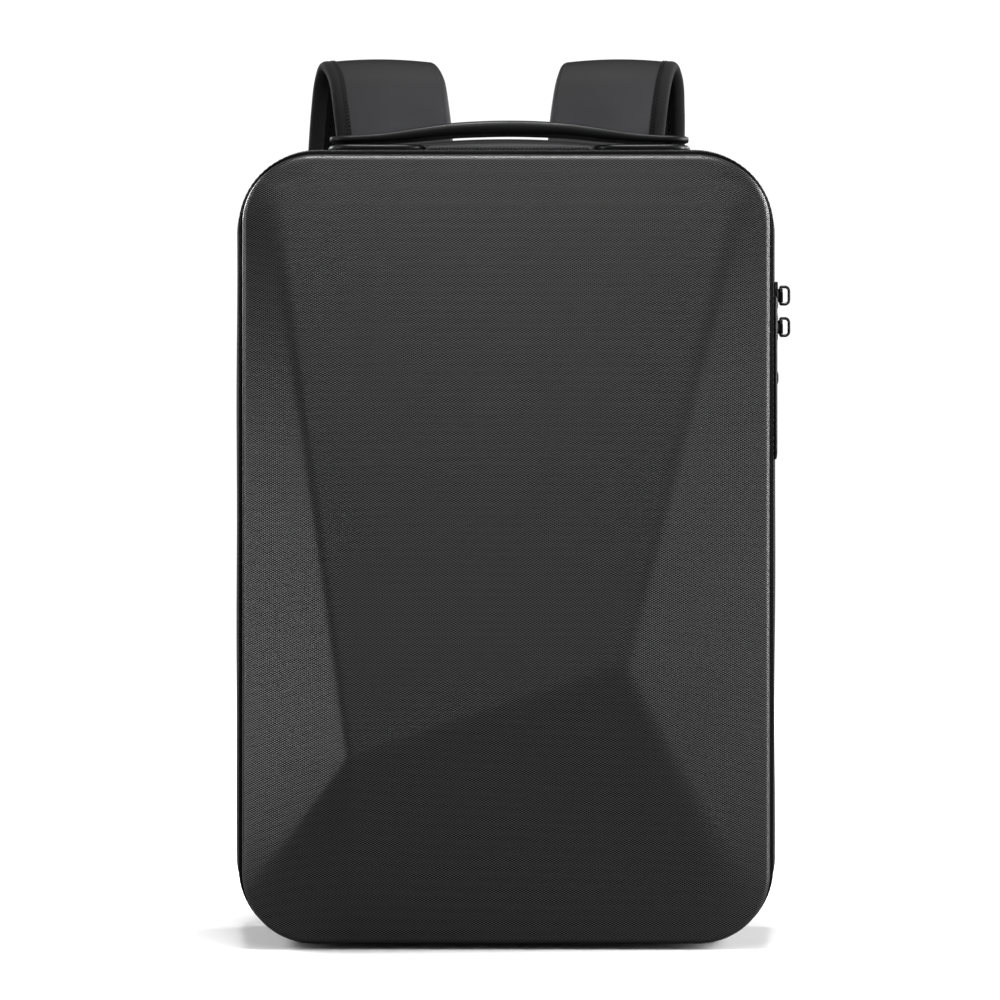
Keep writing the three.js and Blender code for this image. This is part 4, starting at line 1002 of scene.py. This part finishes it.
# Shoulder straps. Foam lies between a smooth coated cloth, outside, and knitted mesh, inside. A twill tape
# binds the outer edge and is held by a zigzag stitch. Each strap rises from the back, folds over and hangs.
strap_width, strap_thickness = 0.070, 0.009
strap_rise, strap_reach, strap_spread, strap_shift = 0.0625, 0.041, 0.092, -0.0033
fold_lift, fold_start, fold_run = 0.0023, 0.86, 0.14
strap_edge_radius = 0.0034
binding_cover, binding_thickness = 0.0086, 0.0009
strap_rows = [
    {"out": 0.674, "back": 0.0, "up": 0.819, "wide": 1.0, "thick": 0.34},
    {"out": 0.68, "back": 0.0, "up": 0.861, "wide": 1.0, "thick": 0.36},
    {"out": 0.691, "back": 0.01, "up": 0.903, "wide": 1.0, "thick": 0.85},
    {"out": 0.723, "back": 0.075, "up": 0.953, "wide": 1.0, "thick": 1.0},
    {"out": 0.757, "back": 0.235, "up": 0.984, "wide": 1.0, "thick": 0.86},
    {"out": 0.785, "back": 0.465, "up": 1.0, "wide": 1.0, "thick": 0.8, "lean": (0.0030, 0.0012)},
    {"out": 0.815, "back": 0.72, "up": 0.986, "wide": 1.0, "thick": 0.86, "lean": (0.0040, 0.0022)},
    {"out": 0.845, "back": 0.83, "up": 0.953, "wide": 1.0, "thick": 1.0, "lean": (0.0036, 0.0006)},
    {"out": 0.885, "back": 0.925, "up": 0.88, "wide": 1.0, "thick": 1.0, "lean": (0.0028, -0.0026)},
    {"out": 0.945, "back": 1.0, "up": 0.766, "wide": 0.97, "thick": 1.0, "lean": (0.0020, -0.0026)},
    {"out": 0.99, "back": 0.975, "up": 0.632, "wide": 0.89, "thick": 1.0, "lean": (0.0010, -0.0016)},
    {"out": 1.0, "back": 0.855, "up": 0.498, "wide": 0.8, "thick": 1.0},
    {"out": 1.03, "back": 0.71, "up": 0.39, "wide": 0.62, "thick": 0.72},
]


def strap_line(way, shares):
    points = []
    for row in strap_rows:
        lying = panel_back + 2 * seam_gap + binding_thickness + row["thick"] * strap_thickness / 2
        in_fold = np.clip((row["up"] - fold_start) / fold_run, 0, 1)
        rise = row["up"] * (shell_top + strap_rise) + fold_lift * in_fold
        out = row["out"] * strap_spread + row.get("lean", (0, 0))[way > 0]
        points.append((way * out + strap_shift, lying + row["back"] * strap_reach, rise))
    return curve_at(points, shares)


def strap_sizes(shares):
    sizes = [(row["wide"] * strap_width, row["thick"] * strap_thickness) for row in strap_rows]
    return curve_at(sizes, shares)


pad_crown, pad_edge = 0.0022, 0.0013
tape_lift = -0.0011
# Painted shade: the strap cloth's colour darkens from mid height up over the fold
strap_cloth = cloth(
    "Coated strap cloth", plain_weave, dark=(0.008, 0.008, 0.0085), light=(0.085, 0.085, 0.09), thread=0.0003,
    relief=0.00003, roughness=0.62, painted_shade_heights=(0.487, 0.524, 0.08), Specular_IOR_Level=0.15)
# The strap's mesh is the back's knit made darker: painted shade on the strap's underside
strap_mesh = air_mesh("Strap mesh", spacing=0.0036, unrolled=True, knit_shade=0.004)
strap_shares = np.linspace(0, 1, 157)
strap_arc, strap_flats = 5, 22


def make_strap(name, way):
    sizes = strap_sizes(strap_shares)
    sections = []
    for width, thickness in sizes:
        section = bar(width, thickness, strap_edge_radius, strap_arc, strap_flats)
        u, v = section.T
        swelling = pad_crown * (1 - (2 * u / width) ** 2) - pad_edge
        section[:, 1] += np.sign(v) * swelling * np.abs(2 * v / thickness)
        sections.append(section)
    finish = np.ones(len(sections[0]), int)
    finish[:2 * strap_arc + strap_flats] = 0
    strap = sweep(f"shoulder_strap_{name}", strap_line(way, strap_shares), (1, 0, 0), sections,
                  [strap_cloth, strap_mesh], column_finish=finish)
    return fit_out(strap, "strap_fabric", f"strap_{name}")


def binding_side(width, thickness, lift):
    r = min(strap_edge_radius, thickness / 2)
    edge, flat = width / 2 - r, thickness / 2 - r
    turns = np.linspace(np.pi / 2, 0, 7)
    upper = [(edge + r - binding_cover, thickness / 2 + tape_lift + lift)]
    rise = r + tape_lift + lift
    upper += [(edge + (r + seam_gap + lift) * math.cos(turn), flat + rise * math.sin(turn)) for turn in turns]
    return upper + [(u, -v) for u, v in upper[::-1]]


def make_binding(name, way):
    sections = []
    for width, thickness in strap_sizes(strap_shares):
        section = binding_side(width, thickness, binding_thickness)
        section += binding_side(width, thickness, 0.0)[::-1]
        sections.append([(way * u, v) for u, v in section])
    tape = sweep(f"edge_binding_{name}", strap_line(way, strap_shares), (1, 0, 0), sections, twill_tape)
    return fit_out(tape, "tape", f"strap_binding_{name}")


for name, way in (("left", -1), ("right", 1)):
    make_strap(name, way)
    make_binding(name, way)


# The zigzag stitch that holds the binding shows as two rows of short threads
zigzag_pitch, zigzag_insets = 0.0022, (0.0010, 0.0024)


def on_strap(way, sideways, lift, first=0.02, last=0.98, steps=500):
    """A line on a strap's face: sideways from its outer edge, and lifted off its foam."""
    shares = np.linspace(first, last, steps)
    line = strap_line(way, shares)
    outward = np.cross((1, 0, 0), np.gradient(line, axis=0))
    outward /= np.linalg.norm(outward, axis=1, keepdims=True)
    width, thickness = strap_sizes(shares)[:, :2].T
    across = way * (width / 2 - sideways)
    return line + across[:, None] * (1, 0, 0) + (thickness / 2 + lift)[:, None] * outward


for name, way in (("left", -1), ("right", 1)):
    height = tape_lift + binding_thickness
    outer, inner = (on_strap(way, binding_cover - inset, height) for inset in zigzag_insets)
    sew(f"zigzag_{name}", [outer, inner[3:]], "tape",
        pitch=zigzag_pitch, length=0.0013, thickness=0.0009, finish=dull_thread)
    seam = [on_strap(way, 0.0668, -0.0009, 0.2, 0.72)]
    sew(f"strap_seam_{name}", seam, "strap_fabric", pitch=0.003, length=0.0023, thickness=0.00035)


# Patches of doubled cloth cover the straps' roots and the webbing's ends. Each is sewn round its edge and
# across in an X.
def patch(name, node):
    low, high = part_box(node)
    width, thickness = high.x - low.x, high.y - low.y
    middle = (low + high) / 2
    rows = [(low.z, 0.35), (low.z + 0.0003, 0.8), (low.z + 0.0008, 1.0)]
    rows += [(low.z + share * (high.z - low.z), 1.0) for share in (0.2, 0.4, 0.6, 0.8)]
    rows += [(high.z - 0.0008, 1.0), (high.z - 0.0003, 0.8), (high.z, 0.35)]
    line = [(middle.x, middle.y, z) for z, _ in rows]
    sections = [bar(width * (1 - 0.006 * (1 - thick)), thickness * thick, thickness * 0.4, 4, 24)
                for _, thick in rows]
    return fit_out(sweep(name, line, (-1, 0, 0), sections, body_cloth), "body_fabric", node)


def box_and_cross(name, corners, slot):
    """Stitches round four corners and from corner to corner."""
    runs = [np.array(run) for run in (corners + corners[:1], corners[::2], corners[1::2])]
    sew(name, runs, slot, pitch=0.003, length=0.0024, thickness=0.0006)


patch_seam = 0.003
for name in ("left", "right"):
    for kind in ("strap_anchor", "lower_tab"):
        node = f"{kind}_{name}"
        patch(f"{kind}_patch_{name}", node)
        low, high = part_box(node)
        left, right = low.x + patch_seam, high.x - patch_seam
        down, up = low.z + patch_seam, high.z - patch_seam
        corners = [(x, high.y + 0.0001, z) for x, z in ((left, down), (right, down), (right, up), (left, up))]
        box_and_cross(f"{kind}_stitches_{name}", corners, "body_fabric")


# Ladder buckles and lower webbing. A black plastic buckle hangs in a loop of webbing at each strap's end. The
# lower webbing comes up from the bag's corner, turns round the buckle's middle bar and ends in a free tail.
buckle_height, buckle_thickness, buckle_bar = 0.024, 0.0024, 0.003
webbing_width, webbing_thickness = 0.024, 0.0014
webbing_tail, tail_flare, webbing_lead, webbing_sag = 0.060, 1.6, 0.004, 0.002
tab_across, tab_up, tab_height = 0.112, 0.0374, 0.021
webbing_foot = [(1.73, 3.6), (0.87, 0.43), (0.62, 0), (-0.37, 0)]

webbing_cloth = cloth(
    "Black webbing", twill_weave, dark=(0.004, 0.004, 0.0045), light=(0.017, 0.017, 0.018), thread=0.0008,
    relief=0.0002, roughness=0.7, Sheen_Weight=0.1, Sheen_Roughness=0.5)
webbing_section = bar(webbing_width, webbing_thickness, webbing_thickness * 0.45, 4, 12)


def make_webbing(name, way):
    stations = strap_line(way, np.array([25 / 26, 1.0]))
    end = stations[1]
    across = np.array((1.0, 0, 0))
    out = np.cross(across, end - stations[0])
    out /= np.linalg.norm(out)
    along = np.cross(out, across)
    out = out if out[1] > 0 else -out

    def at(down, lift):
        return end + along * down + out * lift

    middle = seam_gap + buckle_height / 2
    radius = math.hypot(buckle_bar, buckle_thickness) / 2 + seam_gap + webbing_thickness / 2
    points = [at(middle + webbing_tail, radius * tail_flare),
              at(middle + webbing_tail / 2, radius * (1 + tail_flare) / 2), at(middle + webbing_lead, radius)]
    for turn in np.radians(np.linspace(0, 180, 9)):
        points.append(at(middle - radius * math.sin(turn), radius * math.cos(turn)))
    leg_top = at(middle + buckle_height, -radius)
    foot_x, foot_y = way * tab_across + strap_shift, panel_back + seam_gap
    foot = [np.array((foot_x, foot_y + (0.5 + lift) * webbing_thickness, tab_up + up * tab_height))
            for up, lift in webbing_foot]
    points += [at(middle + webbing_lead, -radius), leg_top]
    points += [(leg_top + foot[0]) / 2 + (0, webbing_sag, 0), *foot]
    line = curve_at(points, np.linspace(0, 1, 181))
    webbing = sweep(f"lower_webbing_{name}", line, across, [webbing_section] * len(line), webbing_cloth)
    fit_out(webbing, "tape", f"webbing_{name}")

    # The loop that holds the buckle is sewn to both faces of the strap's end
    thick = strap_rows[-1]["thick"] * strap_thickness / 2 + 0.0009
    bar_middle = seam_gap + buckle_bar / 2
    sewn_leg = [(-0.016, thick + 0.0003), (-0.010, thick), (-0.004, thick), (-0.001, thick * 0.9)]
    loop = [at(down, lift) for down, lift in sewn_leg]
    reach = buckle_bar / 2 + 0.0012
    for turn in np.radians(np.linspace(60, -60, 7)):
        lift = buckle_thickness * 0.9 * math.sin(turn) / math.sin(1.05)
        loop.append(at(bar_middle + reach * math.cos(turn), lift))
    loop += [at(down, -lift) for down, lift in sewn_leg[::-1]]
    line = curve_at(loop, np.linspace(0, 1, 91))
    keeper = sweep(f"buckle_loop_{name}", line, across, [webbing_section] * len(line), webbing_cloth)
    fit_out(keeper, "tape")
    corners = [at(down, thick + webbing_thickness / 2 + 0.0001) + across * over
               for down, over in ((-0.014, -0.010), (-0.014, 0.010), (-0.004, 0.010), (-0.004, -0.010))]
    box_and_cross(f"buckle_loop_stitches_{name}", corners, "tape")
    softened(f"strap_buckle_{name}", f"buckle_{name}", 0.0006, moulded, "hard_plastic")


for name, way in (("left", -1), ("right", 1)):
    make_webbing(name, way)


# Side plate. A long black plastic plate with round ends covers the strip of cloth beside the shell. One dark
# rivet stands in its middle.
softened("side_cover_plate", "side_plate", 0.0004, moulded, "hard_plastic")

dark_metal = grained(
    "Black plated metal", (0.01, 0.01, 0.0103), 0.34, grain_size=0.0004, relief=0.00002, sharpness=0.5,
    polish=(0.24, 0.38), tones=((0.006, 0.006, 0.0063), (0.013, 0.013, 0.0135)), Metallic=0.85)
softened("plate_rivet", "side_plate_rivet", 0.0002, dark_metal, "dark_metal")


# Zip sliders and pulls. Two cast sliders ride nose to nose on the coil. Each carries a D of bent wire, whose
# straight bar turns in the slider's lug.
pull_wire, pull_corner = 0.0017, 0.0024
barrel_radius, barrel_bevel, arm_clearance = 0.0015, (0.0003, 0.0003), 0.0002


def wire_pull(name):
    low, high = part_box(f"zip_pull_{name}")
    r = pull_wire / 2
    near, far, down, up = low.x + r, high.x - r, low.z + r, high.z - r
    middle = (low.y + high.y) / 2
    small = 0.0006
    path = []
    corners = ((near, down, small, 180), (far, down, pull_corner, 270),
               (far, up, pull_corner, 0), (near, up, small, 90))
    for x, z, bend, start in corners:
        centre_x = x + (bend if x == near else -bend)
        centre_z = z + (bend if z == down else -bend)
        for turn in np.radians(np.linspace(start, start + 90, 8)):
            path.append((centre_x + bend * math.cos(turn), middle, centre_z + bend * math.sin(turn)))
    sections = [bar(pull_wire, pull_wire, r, 3)] * len(path)
    wire = sweep(f"wire_pull_{name}", path, (0, 1, 0), sections, dark_metal, joined=True)
    fit_out(wire, "dark_metal", f"zip_pull_{name}", body=f"{name}_pull")


def hinge_barrel(name):
    """The cast barrel round the pull's straight bar, between its two arms."""
    low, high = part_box(f"zip_pull_{name}")
    centre = (low.x + pull_wire / 2, (low.y + high.y) / 2)
    turns = np.linspace(0, 2 * np.pi, 25)[:-1]
    down, up = low.z + pull_wire + arm_clearance, high.z - pull_wire - arm_clearance
    barrel = turned(f"hinge_barrel_{name}", centre, turns, barrel_radius, down, up, barrel_bevel, dark_metal)
    fit_out(barrel, "dark_metal")


for name in ("upper", "lower"):
    softened(f"cast_slider_{name}", f"zip_slider_{name}", 0.0003, dark_metal, "dark_metal")
    hinge_barrel(name)
    wire_pull(name)


# Studio. White paper lies under the bag and is burnt out away from it. Soft lights stand in front, at the
# sides and behind, and one hangs overhead, as in a packshot. The camera stands level, two metres in front.
paper, nodes, shader = material("White paper", (0.92, 0.92, 0.92), 0.9)
lit_near, lit_far = 0.18, 0.34
own_place = nodes.add("ShaderNodeTexCoord").outputs["Object"]
from_bag = nodes.add("ShaderNodeVectorMath", {0: own_place}, operation="LENGTH").outputs["Value"]
seen = nodes.add("ShaderNodeLightPath").outputs["Is Camera Ray"]
burnt = nodes.math("MULTIPLY", nodes.remap(from_bag, lit_near, lit_far, 0.0, 1.0), seen)
shader.inputs["Emission Color"].default_value = (1, 1, 1, 1)
connect(nodes, burnt, shader, "Emission Strength")
connect(nodes, nodes.mix(seen, (0.12, 0.12, 0.12, 1), (0.95, 0.95, 0.95, 1)), shader, "Base Color")
floor_mesh = bpy.data.meshes.new("floor")
floor_mesh.from_pydata([(-6, -6, 0), (6, -6, 0), (6, 6, 0), (-6, 6, 0)], [], [(0, 1, 2, 3)])
floor_mesh.materials.append(paper)
floor = bpy.data.objects.new("floor", floor_mesh)
bpy.context.scene.collection.objects.link(floor)

camera_distance = 2.0
focal_pixels, frame_pixels = 3440, 1000
camera_data = bpy.data.cameras.new("camera")
camera_data.sensor_width = 36
camera_data.lens = camera_data.sensor_width * focal_pixels / frame_pixels
camera = bpy.data.objects.new("camera", camera_data)
camera.location = (-0.0035, shell_rear - camera_distance, 0.2576)
camera.rotation_euler = (math.radians(90), 0, 0)
bpy.context.scene.collection.objects.link(camera)
bpy.context.scene.camera = camera


light_aim = (0, 0, 0.25)


def soft_light(name, place, size, power):
    lamp = bpy.data.lights.new(name, "AREA")
    lamp.shape = "RECTANGLE"
    lamp.size, lamp.size_y = size
    lamp.energy = power
    thing = bpy.data.objects.new(name, lamp)
    thing.location = place
    thing.rotation_euler = (Vector(light_aim) - Vector(place)).to_track_quat("-Z", "Y").to_euler()
    bpy.context.scene.collection.objects.link(thing)


soft_light("front_low_light", (0, -2.08, 1.45), (0.7, 0.6), 3.1)
soft_light("front_high_light", (0, -1.7, 1.95), (0.7, 0.6), 8.6)
soft_light("top_light", (0, -0.42, 2.6), (0.7, 0.6), 54)
soft_light("left_light", (-2.04, -0.95, 0.73), (0.7, 1.4), 19)
soft_light("right_front_light", (1.72, -1.45, 0.73), (0.7, 1.4), 5.3)
soft_light("right_light", (2.22, -0.39, 0.73), (0.7, 1.4), 70)
soft_light("back_left_light", (-1.9, 1.5, 1.2), (0.9, 0.9), 52)
soft_light("back_right_light", (2.0, 1.4, 1.2), (0.9, 0.9), 42)

sky = bpy.data.worlds.new("studio")
sky.use_nodes = True
nodes = Nodes(sky.node_tree)
seen = nodes.add("ShaderNodeLightPath").outputs["Is Camera Ray"]
background = sky.node_tree.nodes["Background"].inputs
nodes.tree.links.new(nodes.remap(seen, 0.0, 1.0, 0.02, 1.05), background["Strength"])
background["Color"].default_value = (1, 1, 1, 1)
bpy.context.scene.world = sky
bpy.context.scene.view_settings.view_transform = "Standard"
